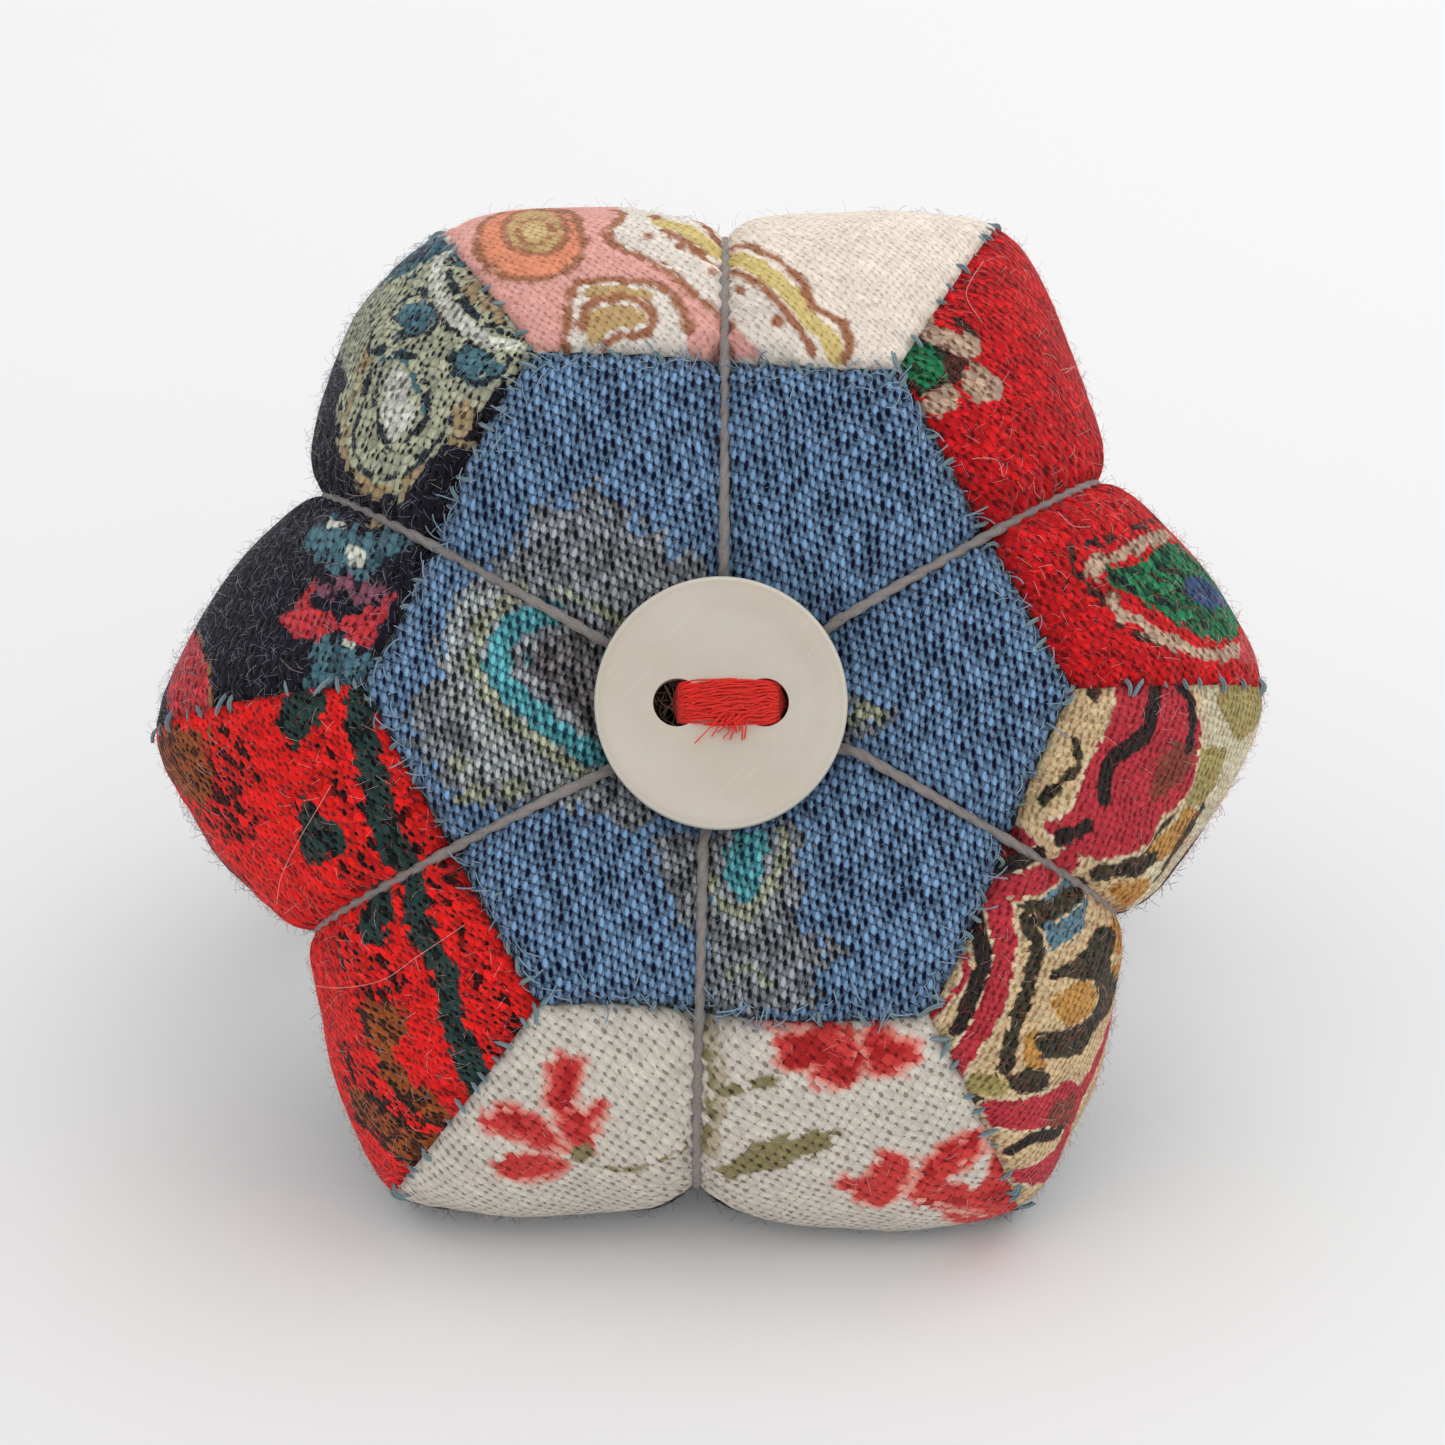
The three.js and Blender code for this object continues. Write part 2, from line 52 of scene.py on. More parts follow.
pad = {
    "lean": 34.0,  # the face looks this far above level
    "cornerReach": 35.0,
    "notchReach": 28.0,
    "shoulderSwell": 1.6,
    "shoulderShare": 0.14,
    "lobePointPower": 1.3,
    "frontRise": 14.0,
    "backRise": 12.0,
    "backFlatRadius": 19.5,
    "planPower": 3.6,
    "crownPower": 2.2,
    "backPlanPower": 2.2,
    "backCrownPower": 2.2,
    "hexagonApothem": 19.8,
    "dimpleDepth": 5.0,
    "dimpleReach": 8.0,
    "shoulderGroove": 2.2,
    "buttonGroove": 1.2,
    "grooveAtButtonShare": 0.55,
    "grooveWidth": 3.4,
    "grooveRound": 0.5,
    "coreRadius": 3.5,
    "feltFace": 15.8,  # edge seam to the felt that lies on the wrist
}
lobes = 6
sector = 2 * math.pi / lobes
firstGroove = sector / 2  # a corner lies on +X, so the grooves lie between corners

lean = math.radians(pad["lean"])
outOfFace = np.array([0.0, -math.cos(lean), math.sin(lean)])
upFace = np.array([0.0, math.sin(lean), math.cos(lean)])
floorUp = np.array([0.0, math.cos(lean), math.sin(lean)])  # the floor's normal in the pad's frame
wristFace = next(m for m in frame["record"]["mounts"] if m["name"] == "wrist_face")
padMiddle = np.array(wristFace["pos_m"]) / mm + pad["feltFace"] * outOfFace
floorDistance = padMiddle[2]


def toWorld(points):
    points = np.asarray(points, float)
    placed = padMiddle + points[..., 1:2] * upFace + points[..., 2:3] * outOfFace
    placed[..., 0] += points[..., 0]
    return placed * mm


def toPad(points):
    away = np.asarray(points, float) / mm - padMiddle
    return np.stack([away[..., 0], away @ upFace, away @ outOfFace], axis=-1)


def newPiece(name, points, faces, smooth=True):
    mesh = bpy.data.meshes.new(name)
    mesh.from_pydata(np.reshape(points, (-1, 3)).tolist(), [], faces)
    if smooth:
        mesh.shade_smooth()
    piece = bpy.data.objects.new(name, mesh)
    bpy.context.collection.objects.link(piece)
    return piece


def grid(rows, cols, start=0):
    return start + np.arange(rows * cols).reshape(rows, cols)


def quads(index, loopRows=False, loopCols=False):
    # the faces between the points of a grid
    if loopRows:
        index = np.concatenate([index, index[:1]])
    if loopCols:
        index = np.concatenate([index, index[:, :1]], axis=1)
    corners = [index[:-1, :-1], index[1:, :-1], index[1:, 1:], index[:-1, 1:]]
    return np.stack(corners, axis=-1).reshape(-1, 4).tolist()


def layFlat(piece, flat):
    # gives a piece its flat places, in mm, as the UV map that weaves follow
    vertex = np.empty(len(piece.data.loops), int)
    piece.data.loops.foreach_get("vertex_index", vertex)
    layer = piece.data.uv_layers.new(name="cloth")
    layer.uv.foreach_set("vector", np.reshape(flat, (-1, 2))[vertex].ravel())


def mark(piece, name, values):
    piece.data.attributes.new(name, "FLOAT", "POINT").data.foreach_set("value", values)


def applied(piece):
    # keeps what the piece's modifiers make of it as a plain mesh
    graph = bpy.context.evaluated_depsgraph_get()
    mesh = bpy.data.meshes.new_from_object(piece.evaluated_get(graph), preserve_all_data_layers=True,
                                           depsgraph=graph)
    piece.modifiers.clear()
    old = piece.data
    piece.data = mesh
    bpy.data.meshes.remove(old)
    mesh.name = piece.name
    return piece


# The lobed shape, as in the solids: distance round to the nearest groove, then middle to edge seam.
def fromGroove(angle):
    share = (angle - firstGroove) / sector
    return np.abs(share - np.round(share)) * sector


def edgeReach(angle):
    share = fromGroove(angle) / (sector / 2)
    swell = pad["shoulderSwell"] * (1 - np.exp(-share / pad["shoulderShare"]))
    point = pad["cornerReach"] - pad["notchReach"] - pad["shoulderSwell"]
    return pad["notchReach"] + swell + point * share ** pad["lobePointPower"]


def grooveBell(angle, radius):
    aside = radius * np.sin(np.minimum(fromGroove(angle), sector / 2))
    return np.exp((pad["grooveRound"] - np.hypot(aside, pad["grooveRound"])) / pad["grooveWidth"])


def polar(radius, angle, height):
    return np.stack([radius * np.cos(angle), radius * np.sin(angle), height], axis=-1)


def facePoint(angle, sweep, inset=0.0):
    t = sweep * math.pi / 2
    radius = (edgeReach(angle) - inset) * np.sin(t) ** (2 / pad["planPower"])
    full = np.minimum(1, radius / (pad["notchReach"] * pad["grooveAtButtonShare"]))
    fade = np.cos(t) ** (2 / pad["crownPower"])
    groove = (pad["buttonGroove"] + (pad["shoulderGroove"] - pad["buttonGroove"]) * full) * fade
    dimple = pad["dimpleDepth"] * np.exp(-((radius / pad["dimpleReach"]) ** 2))
    height = (pad["frontRise"] - inset) * fade - dimple - groove * grooveBell(angle, radius)
    return polar(radius, angle, height)


def backAt(angle, radius, fade, inset=0.0):
    groove = pad["buttonGroove"] * fade * grooveBell(angle, radius)
    return polar(radius, angle, -((pad["backRise"] - inset) * fade - groove))


def backPoint(angle, sweep, inset=0.0):
    t = sweep * math.pi / 2
    out = np.sin(t) ** (2 / pad["backPlanPower"])
    radius = pad["backFlatRadius"] + (edgeReach(angle) - inset - pad["backFlatRadius"]) * out
    return backAt(angle, radius, np.cos(t) ** (2 / pad["backCrownPower"]), inset)


def faceSweep(angle, radius):
    return np.arcsin(np.clip(radius / edgeReach(angle), 0, 1) ** (pad["planPower"] / 2)) / (math.pi / 2)


def hexagonReach(angle):
    return pad["hexagonApothem"] / np.cos(fromGroove(angle))


# The real pad is sewn by hand, so no two lobes are alike. At three rings, round the button, round the
# centre patch and at the edge, every corner and groove is turned and moved in or out a little. The
# lists start at the corner on +X and go round at even steps.
handSewn = {
    "buttonRing": 8.0,
    "turnAtButton": [5, 6.4, 3, -1.3, 0, 1.4, 0, 0, -3, -7.7, 0, 11.6],
    "turnAtPatch": [2.4, 2.6, 2.2, -0.6, -2.1, 0.9, -3.2, -1.9, -1.2, -4.0, 3.8, 4.8],
    "turnAtEdge": [2.9, 1.8, 0.4, -0.5, 0.7, 0.9, 1.3, -2.1, -4.3, -3.0, 1.1, 3.3],
    "outAtPatch": [-1.4, -0.6, 0.2, 1.2, 1.5, 0.3, -1.0, -1.3, -1.5, -1.2, -0.2, -0.6],
    "outAtEdge": [-0.8, -0.5, -0.9, -0.4, 0.7, 0.9, 1.4, 1.2, 0.6, 1.5, -0.2, 0.4,
                  0.7, 0.9, -0.2, 0.2, 1.2, 0.7, 0.5, 0.8, 1.0, -0.1, -1.3, -0.6],
}


def spline(values, positions, loop):
    # values at whole positions along the first axis, read at fractional ones
    count = len(values)
    base = np.floor(positions).astype(int)
    t = (positions - base).reshape((-1,) + (1,) * (values.ndim - 1))
    take = (lambda i: values[i % count]) if loop else (lambda i: values[np.clip(i, 0, count - 1)])
    a, b, c, d = take(base - 1), take(base), take(base + 1), take(base + 2)
    return b + 0.5 * t * (c - a + t * (2 * a - 5 * b + 4 * c - d + t * (3 * (b - c) + d - a)))


def roundTheRing(values, angle):
    at = angle / (2 * math.pi) * len(values)
    return spline(np.array(values, float), at.ravel(), True).reshape(at.shape)


def sewn(points):
    radius = np.hypot(points[..., 0], points[..., 1])
    angle = np.arctan2(points[..., 1], points[..., 0])
    ring = handSewn["buttonRing"]
    patch = hexagonReach(angle)
    inner = np.clip((radius - ring) / (patch - ring), 0, 1)
    outer = np.clip((radius - patch) / (edgeReach(angle) - patch), 0, 1)
    start = np.clip((radius - pad["coreRadius"]) / (ring - pad["coreRadius"]), 0, 1)
    turn = [roundTheRing(handSewn[name], angle) for name in ("turnAtButton", "turnAtPatch", "turnAtEdge")]
    # the turn fades as 1 / radius from the button to the patch's edge, which keeps the thread straight
    straight = np.clip((1 - ring / np.maximum(radius, 1e-9)) / (1 - ring / patch), 0, 1)
    turned = start * (turn[0] + (turn[1] - turn[0]) * straight + (turn[2] - turn[1]) * outer)
    out = [roundTheRing(handSewn[name], angle) for name in ("outAtPatch", "outAtEdge")]
    reach = radius + out[0] * inner + (out[1] - out[0]) * outer
    return polar(reach, angle + np.radians(turned), points[..., 2])


def pressed(points, inset=0.0):
    below = -(points @ floorUp) - (floorDistance - inset)
    return points + np.maximum(below, 0)[..., None] * floorUp


# A net of points covers the pad. Its columns run round the middle, starting at the first groove, and
# its rows run from the hole in the middle of the face out to the edge seam, and in along the back.
net = {
    "halfColumns": 9,  # from a groove to a corner
    "columnEase": 1.2,  # draws the columns towards the grooves
    "centreRows": 12,
    "sideRows": 20,
    "backSideRows": 14,
    "backFlatRows": 6,
    "wallRows": 3,
    "finer": 6,  # cells of the shown centre cloth to each cell of the net, each way
    "finerSide": 9,
    "finerBack": 3,
}


def ringAngles(perHalf):
    up = (np.arange(perHalf) / perHalf) ** net["columnEase"] * sector / 2
    down = sector - ((perHalf - np.arange(perHalf)) / perHalf) ** net["columnEase"] * sector / 2
    return np.concatenate([firstGroove + k * sector + np.append(up, down) for k in range(lobes)])


def centreSheet(angle, rows, inset=0.0):
    share = np.linspace(0, 1, rows + 1)[:, None]
    radius = pad["coreRadius"] + (hexagonReach(angle) - pad["coreRadius"]) * share
    return sewn(facePoint(angle[None, :], faceSweep(angle[None, :], radius), inset))


def sideSheet(angle, rows, inset=0.0):
    share = np.linspace(0, 1, rows + 1)[:, None]
    start = faceSweep(angle, hexagonReach(angle))[None, :]
    return sewn(facePoint(angle[None, :], start + (1 - start) * share, inset))


def backSheet(angle, sideRows, flatRows, inset=0.0):
    side = backPoint(angle[None, :], np.linspace(1, 0, sideRows + 1)[:, None], inset)
    radius = np.linspace(pad["backFlatRadius"], pad["coreRadius"], flatRows + 1)[1:, None]
    flat = backAt(angle[None, :], radius + 0 * angle[None, :], 1.0, inset)
    return sewn(np.concatenate([side, flat]))


def skin(inset=0.0):
    # the net's rows from the hole in the face over the edge to the middle of the back
    angle = ringAngles(net["halfColumns"])
    face = centreSheet(angle, net["centreRows"], inset)
    side = sideSheet(angle, net["sideRows"], inset)
    back = backSheet(angle, net["backSideRows"], net["backFlatRows"], inset)
    return np.concatenate([face, side[1:], back[1:]])


def wholeNet():
    shell = skin()
    wallShare = np.linspace(0, 1, net["wallRows"] + 2)[1:-1, None, None]
    return pressed(np.concatenate([shell, shell[-1] + (shell[0] - shell[-1]) * wallShare]))


# Cloth: the net is blown up a little between the seams and the thread, which hold it.
puff = {
    "frames": 20,
    "scale": 0.01,  # the cloth is settled at ten times its size
    "mostMove": 0.9,
    "seamHold": 0.85,
    "floorHold": 0.3,  # cloth this near the floor stays where it is
    "cloth": {"quality": 6, "mass": 0.3, "tension_stiffness": 25, "compression_stiffness": 20,
              "shear_stiffness": 8, "bending_stiffness": 1.2, "use_pressure": True,
              "uniform_pressure_force": 300.0, "vertex_group_mass": "hold"},
}


def settleCloth(points):
    rows, cols = points.shape[:2]
    index = grid(rows, cols)
    netPiece = newPiece("net", points * puff["scale"], quads(index, True, True), smooth=False)
    rim = net["centreRows"] + net["sideRows"]
    groove = 2 * net["halfColumns"]
    hold = np.zeros((rows, cols))
    hold[[net["centreRows"], rim]] = puff["seamHold"]
    hold[net["centreRows"]:rim, net["halfColumns"]::groove] = puff["seamHold"]
    hold[:, ::groove] = 1
    hold[np.hypot(points[..., 0], points[..., 1]) < pad["dimpleReach"]] = 1
    hold[rim + net["backSideRows"]:] = 1
    hold[-(points @ floorUp) > floorDistance - puff["floorHold"]] = 1
    group = netPiece.vertex_groups.new(name="hold")
    for value in np.unique(hold[hold > 0]):
        group.add(index[hold == value].ravel().tolist(), float(value), "REPLACE")

    settings = netPiece.modifiers.new("cloth", "CLOTH").settings
    for key, value in puff["cloth"].items():
        setattr(settings, key, value)
    settings.effector_weights.gravity = 0
    scene = bpy.context.scene
    for f in range(1, puff["frames"] + 1):
        scene.frame_set(f)
    settled = netPiece.evaluated_get(bpy.context.evaluated_depsgraph_get()).to_mesh()
    moved = np.empty(rows * cols * 3)
    settled.vertices.foreach_get("co", moved)
    moved = moved.reshape(rows, cols, 3) / puff["scale"] - points
    scene.frame_set(1)
    mesh = netPiece.data
    bpy.data.objects.remove(netPiece)
    bpy.data.meshes.remove(mesh)
    length = np.linalg.norm(moved, axis=-1, keepdims=True)
    print("cloth moved at most", round(float(length.max()), 2), "mm")
    return moved * np.minimum(1, puff["mostMove"] / np.maximum(length, 1e-9))


coarse = wholeNet()
movedNet = settleCloth(coarse)


def netMove(rowStart, rowCount, finer):
    rowsAt = rowStart + np.arange(rowCount * finer + 1) / finer
    columnsAt = np.arange(movedNet.shape[1] * finer) / finer
    down = spline(movedNet, rowsAt, True)
    return spline(down.swapaxes(0, 1), columnsAt, True).swapaxes(0, 1)


def sheetNormals(points, loop):
    along = np.gradient(points, axis=0)
    if loop:
        across = (np.roll(points, -1, axis=1) - np.roll(points, 1, axis=1)) / 2
    else:
        across = np.gradient(points, axis=1)
    normal = np.cross(along, across)
    return normal / np.maximum(np.linalg.norm(normal, axis=-1, keepdims=True), 1e-9)


def lengthDown(points):
    step = np.linalg.norm(np.diff(points, axis=0), axis=-1)
    return np.concatenate([np.zeros((1, points.shape[1])), np.cumsum(step, axis=0)])


# Relief that every cloth piece has: whipped seams sink in and pucker at each stitch, the thread
# gathers the cloth beside it, and the filling is a little lumpy.
relief = {
    "seamDepth": 0.55,
    "seamWidth": 0.75,
    "seamShape": 1.3,
    "puckerShare": 0.4,
    "stitchPitch": 1.9,
    "gatherDepth": 0.16,
    "gatherPitch": 1.7,
    "gatherReach": 2.2,
    "gatherClear": 0.5,
    "cheek": 0.65,  # how far the cloth swells up beside the thread, and how far from it
    "cheekAside": 1.6,
    "cheekLeast": 0.15,  # share of it that is left beside the button
    "cheekClear": 1.5,
    "backCalm": 4.0,  # the back's flat has no relief, which comes back over this far
    "lump": 0.22,
    "lumpPitch": 9.0,
}


def lumps(points):
    p = points * (2 * math.pi / relief["lumpPitch"])
    wave = np.sin(p[..., 0] * 1.1 + 1.3 * np.sin(p[..., 1] * 0.7 + 0.5))
    wave = wave + np.sin(p[..., 1] * 0.9 + 2.1 + 1.1 * np.sin(p[..., 2] * 0.8))
    wave = wave + np.sin(p[..., 2] * 1.2 + p[..., 0] * 0.6 + 4.0)
    return relief["lump"] * wave / 3


def reliefOf(points, seamAway, seamAlong, angle):
    pucker = 1 + relief["puckerShare"] * np.cos(2 * math.pi * seamAlong / relief["stitchPitch"])
    sink = relief["seamDepth"] * np.exp(-((seamAway / relief["seamWidth"]) ** relief["seamShape"])) * pucker
    radius = np.hypot(points[..., 0], points[..., 1])
    aside = radius * np.sin(np.minimum(fromGroove(angle), sector / 2))
    gather = relief["gatherDepth"] * np.exp(-aside / relief["gatherReach"])
    travel = radius - points[..., 2]
    gather = gather * np.cos(2 * math.pi * travel / relief["gatherPitch"] + 1.5 * np.sin(angle * 7))
    fade = np.clip(aside / relief["gatherReach"], 0, 1)
    beside = aside / relief["cheekAside"]
    full = (radius - pad["dimpleReach"]) / (pad["hexagonApothem"] - pad["dimpleReach"])
    cheek = relief["cheek"] * np.clip(full, relief["cheekLeast"], 1) * beside * np.exp(1 - beside)
    cheek = cheek * np.clip(seamAway / relief["cheekClear"], 0, 1)
    return lumps(points) * fade - sink + gather * np.minimum(1, aside / relief["gatherClear"]) + cheek


cloth = {"thickness": 0.5, "skip": 3}


def sheetMesh(name, marks):
    # a closed shell: the outer sheet, a coarser inner sheet, and rims that join them
    sheet, skip = sheets[name], cloth["skip"]
    outer = sheet["points"]
    rows, cols = outer.shape[:2]
    some = np.ix_(np.arange(0, rows, skip), np.arange(0, cols, skip))
    inner = outer[some] - cloth["thickness"] * sheet["normal"][some]
    index = grid(rows, cols)
    inside = grid(*inner.shape[:2], rows * cols)
    everyPoint = np.append(index, index[some])
    if sheet["loop"]:
        index, inside = (np.concatenate([part, part[:, :1]], axis=1) for part in (index, inside))
    faces = quads(index) + quads(inside[:, ::-1])

    def rim(outEdge, inEdge):
        for i in range(len(inEdge) - 1):
            strip = outEdge[i * skip:(i + 1) * skip + 1].tolist()
            faces.append([int(inEdge[i])] + strip + [int(inEdge[i + 1])])

    rim(index[0], inside[0])
    rim(index[-1][::-1], inside[-1][::-1])
    if not sheet["loop"]:
        rim(index[:, 0][::-1], inside[:, 0][::-1])
        rim(index[:, -1], inside[:, -1])
    piece = newPiece(name, toWorld(np.concatenate([outer.reshape(-1, 3), inner.reshape(-1, 3)])), faces)
    layFlat(piece, sheet["flat"].reshape(-1, 2)[everyPoint])
    for layer, values in marks.items():
        mark(piece, layer, values.ravel()[everyPoint])
    return piece


def grooveDirection(k):
    angle = firstGroove + k * sector
    return np.array([math.cos(angle), math.sin(angle)]), np.array([-math.sin(angle), math.cos(angle)])


# Finished sheets, kept for the patches, the stitches, the loose hairs and the fibres that follow.
sheets = {}
sideNames = ["patchUpperRight", "patchTop", "patchUpperLeft", "patchLowerLeft", "patchBottom",
             "patchLowerRight"]


def keepSheet(name, points, flat, seamAway, seamAlong, angle, loop, share=1.0):
    # lays the relief on a sheet and keeps it
    rise = share * reliefOf(points, seamAway, seamAlong, angle[None, :])
    points = pressed(points + sheetNormals(points, loop) * rise[..., None])
    if flat is None:
        flat = points[..., :2]
    sheets[name] = {"points": points, "normal": sheetNormals(points, loop), "flat": flat,
                    "seamAway": seamAway, "loop": loop}


def makeCentreSheet():
    finer = net["finer"]
    angle = ringAngles(net["halfColumns"] * finer)
    points = centreSheet(angle, net["centreRows"] * finer) + netMove(0, net["centreRows"], finer)
    down = lengthDown(points)
    seamAlong = pad["hexagonApothem"] * np.tan(fromGroove(angle))[None, :]
    keepSheet("patchCentre", points, None, down[-1] - down, seamAlong, angle, True)


def makeSideSheet(k):
    finer = net["finerSide"]
    perHalf = net["halfColumns"] * finer
    angle = ringAngles(perHalf)
    points = sideSheet(angle, net["sideRows"] * finer) + netMove(net["centreRows"], net["sideRows"], finer)
    pick = np.arange(2 * perHalf * k - perHalf, 2 * perHalf * k + perHalf + 1) % len(angle)
    points, angle = points[:, pick], angle[pick]
    down = lengthDown(points)
    across = points[..., :2] @ grooveDirection(k)[1]
    corners = [np.linalg.norm(points - points[:, side], axis=-1) for side in (slice(0, 1), slice(-1, None))]
    lateral = np.minimum(*corners)
    lengthwise = np.minimum(down, down[-1] - down)
    seamAlong = np.where(lateral < lengthwise, down, across)
    keepSheet(sideNames[k], points, np.stack([across, down], axis=-1), np.minimum(lengthwise, lateral),
              seamAlong, angle, False)


def makeBackSheet():
    finer = net["finerBack"]
    angle = ringAngles(net["halfColumns"] * finer)
    rim = net["centreRows"] + net["sideRows"]
    points = backSheet(angle, net["backSideRows"] * finer, net["backFlatRows"] * finer)
    points = points + netMove(rim, net["backSideRows"] + net["backFlatRows"], finer)
    down = lengthDown(points)
    past = np.hypot(points[..., 0], points[..., 1]) - pad["backFlatRadius"]
    calm = np.clip(past / relief["backCalm"], 0, 1)
    reach = pad["coreRadius"] + down[-1] - down
    flat = np.stack([reach * np.cos(angle), reach * np.sin(angle)], axis=-1)
    keepSheet("backCloth", points, flat, down, angle[None, :] * pad["cornerReach"], angle, True, calm)


makeCentreSheet()
for k in range(lobes):
    makeSideSheet(k)
makeBackSheet()
print("sheets made")

camera = {
    "elevation": 30.0,
    "distance": 300.0,
    "field": 16.4,
    "pixels": 1445,
    "sensor": 36.0,
    "near": 0.01,
    "aimDown": 1.226,  # the button sits this far above the middle of the picture
    "aimRight": 0.09,
}


def cameraStand():
    up = math.radians(camera["elevation"])
    away = Vector((0, -math.cos(up), math.sin(up)))
    turn = away.to_track_quat("Z", "Y")
    buttonTop = toWorld([0, 0, button["seat"] + button["thickness"]])
    place = Vector(buttonTop.tolist()) + away * camera["distance"] * mm
    place -= (turn @ Vector((0, 1, 0))) * camera["aimDown"] * mm
    place += (turn @ Vector((1, 0, 0))) * camera["aimRight"] * mm
    return place, turn


def pictureOf(points):
    # where points of the pad fall in the picture, in pixels from its top left corner
    place, turn = cameraStand()
    seen = (toWorld(points) - np.array(place)) @ np.array(turn.to_matrix())
    scale = camera["pixels"] / 2 / math.tan(math.radians(camera["field"]) / 2)
    spots = seen[..., :2] / -seen[..., 2:] * scale
    return camera["pixels"] / 2 + spots * [1, -1]


def makeCamera():
    place, turn = cameraStand()
    data = bpy.data.cameras.new("view")
    data.sensor_width = camera["sensor"]
    data.lens = camera["sensor"] / 2 / math.tan(math.radians(camera["field"]) / 2)
    data.clip_start = camera["near"]
    viewer = bpy.data.objects.new("view", data)
    viewer.location = place
    viewer.rotation_mode = "QUATERNION"
    viewer.rotation_quaternion = turn
    bpy.context.collection.objects.link(viewer)
    bpy.context.scene.camera = viewer


class Bench:
    # adds nodes to a group and joins what they are given
    def __init__(self, group):
        self.group = group

    def make(self, kind, inputs, **settings):
        node = self.group.nodes.new(kind)
        for key, value in settings.items():
            setattr(node, key, value)
        for key, value in inputs.items():
            socket = node.inputs[key]
            if isinstance(value, bpy.types.NodeSocket):
                self.group.links.new(value, socket)
            else:
                socket.default_value = value
        return node

    def math(self, operation, *values, clamp=False):
        node = self.make("ShaderNodeMath", dict(enumerate(values)), operation=operation, use_clamp=clamp)
        return node.outputs[0]

    def vector(self, operation, *values, scale=None):
        inputs = dict(enumerate(values))
        if scale is not None:
            inputs["Scale"] = scale
        node = self.make("ShaderNodeVectorMath", inputs, operation=operation)
        return node.outputs[1 if operation in ("DOT_PRODUCT", "LENGTH") else 0]

    def joined(self, x, y=0.0, z=0.0):
        return self.make("ShaderNodeCombineXYZ", {0: x, 1: y, 2: z}).outputs[0]

    def wire(self, output, node, socket):
        self.group.links.new(output, node.inputs[socket])


class Tree(Bench):
    # a geometry tree under construction
    def __init__(self, name):
        super().__init__(bpy.data.node_groups.new(name, "GeometryNodeTree"))
        self.group.is_modifier = True
        self.group.interface.new_socket("Geometry", in_out="INPUT", socket_type="NodeSocketGeometry")
        self.group.interface.new_socket("Geometry", in_out="OUTPUT", socket_type="NodeSocketGeometry")
        self.start = self.group.nodes.new("NodeGroupInput")
        self.end = self.group.nodes.new("NodeGroupOutput")

    def size(self, name, value, socket="NodeSocketFloat"):
        item = self.group.interface.new_socket(name, in_out="INPUT", socket_type=socket)
        item.default_value = value
        return self.start.outputs[name]

    def random(self, low, high, seed, offset):
        # a number between low and high for each point
        node = self.make("FunctionNodeRandomValue", {2: low, 3: high, 8: self.math("ADD", seed, offset)})
        return node.outputs[1]

    def kept(self, name):
        node = self.make("GeometryNodeInputNamedAttribute", {"Name": name}, data_type="FLOAT_VECTOR")
        return node.outputs[0]

    def turned(self, rotation, x=0.0, y=0.0, z=0.0):
        by = self.make("FunctionNodeEulerToRotation", {0: self.joined(x, y, z)}).outputs[0]
        node = self.make("FunctionNodeRotateRotation", {0: rotation, 1: by}, rotation_space="LOCAL")
        return node.outputs[0]

    def line(self, step):
        # the piece's edges as a curve of even steps
        curve = self.make("GeometryNodeMeshToCurve", {"Mesh": self.start.outputs["Geometry"]}).outputs[0]
        node = self.make("GeometryNodeResampleCurve", {"Curve": curve, "Length": step}, mode="LENGTH")
        return node.outputs[0]

    def bow(self, start, middle, end, steps):
        ends = {"Resolution": steps, "Start": start, "Middle": middle, "End": end}
        return self.make("GeometryNodeCurveQuadraticBezier", ends).outputs[0]

    def sown(self, points, instance, rotation, size, **chosen):
        inputs = {"Points": points, "Instance": instance, "Rotation": rotation, "Scale": size, **chosen}
        return self.make("GeometryNodeInstanceOnPoints", inputs).outputs[0]

    def tube(self, curve, radius, sides):
        circle = self.make("GeometryNodeCurvePrimitiveCircle", {"Resolution": sides, "Radius": radius},
                           mode="RADIUS").outputs[0]
        made = self.make("GeometryNodeCurveToMesh", {"Curve": curve, "Profile Curve": circle,
                                                     "Fill Caps": True})
        return self.make("GeometryNodeSetShadeSmooth", {"Geometry": made.outputs[0]}).outputs[0]

    def finish(self, geometry, material):
        real = self.make("GeometryNodeRealizeInstances", {"Geometry": geometry})
        coated = self.make("GeometryNodeSetMaterial", {"Geometry": real.outputs[0], "Material": material})
        self.wire(coated.outputs[0], self.end, 0)
        return self.group


def dyed(colour):
    # a colour as the eye sees it, 0 to 255, in the linear numbers that a shader takes
    return tuple(((c / 255 + 0.055) / 1.055) ** 2.4 for c in colour) + (1.0,)


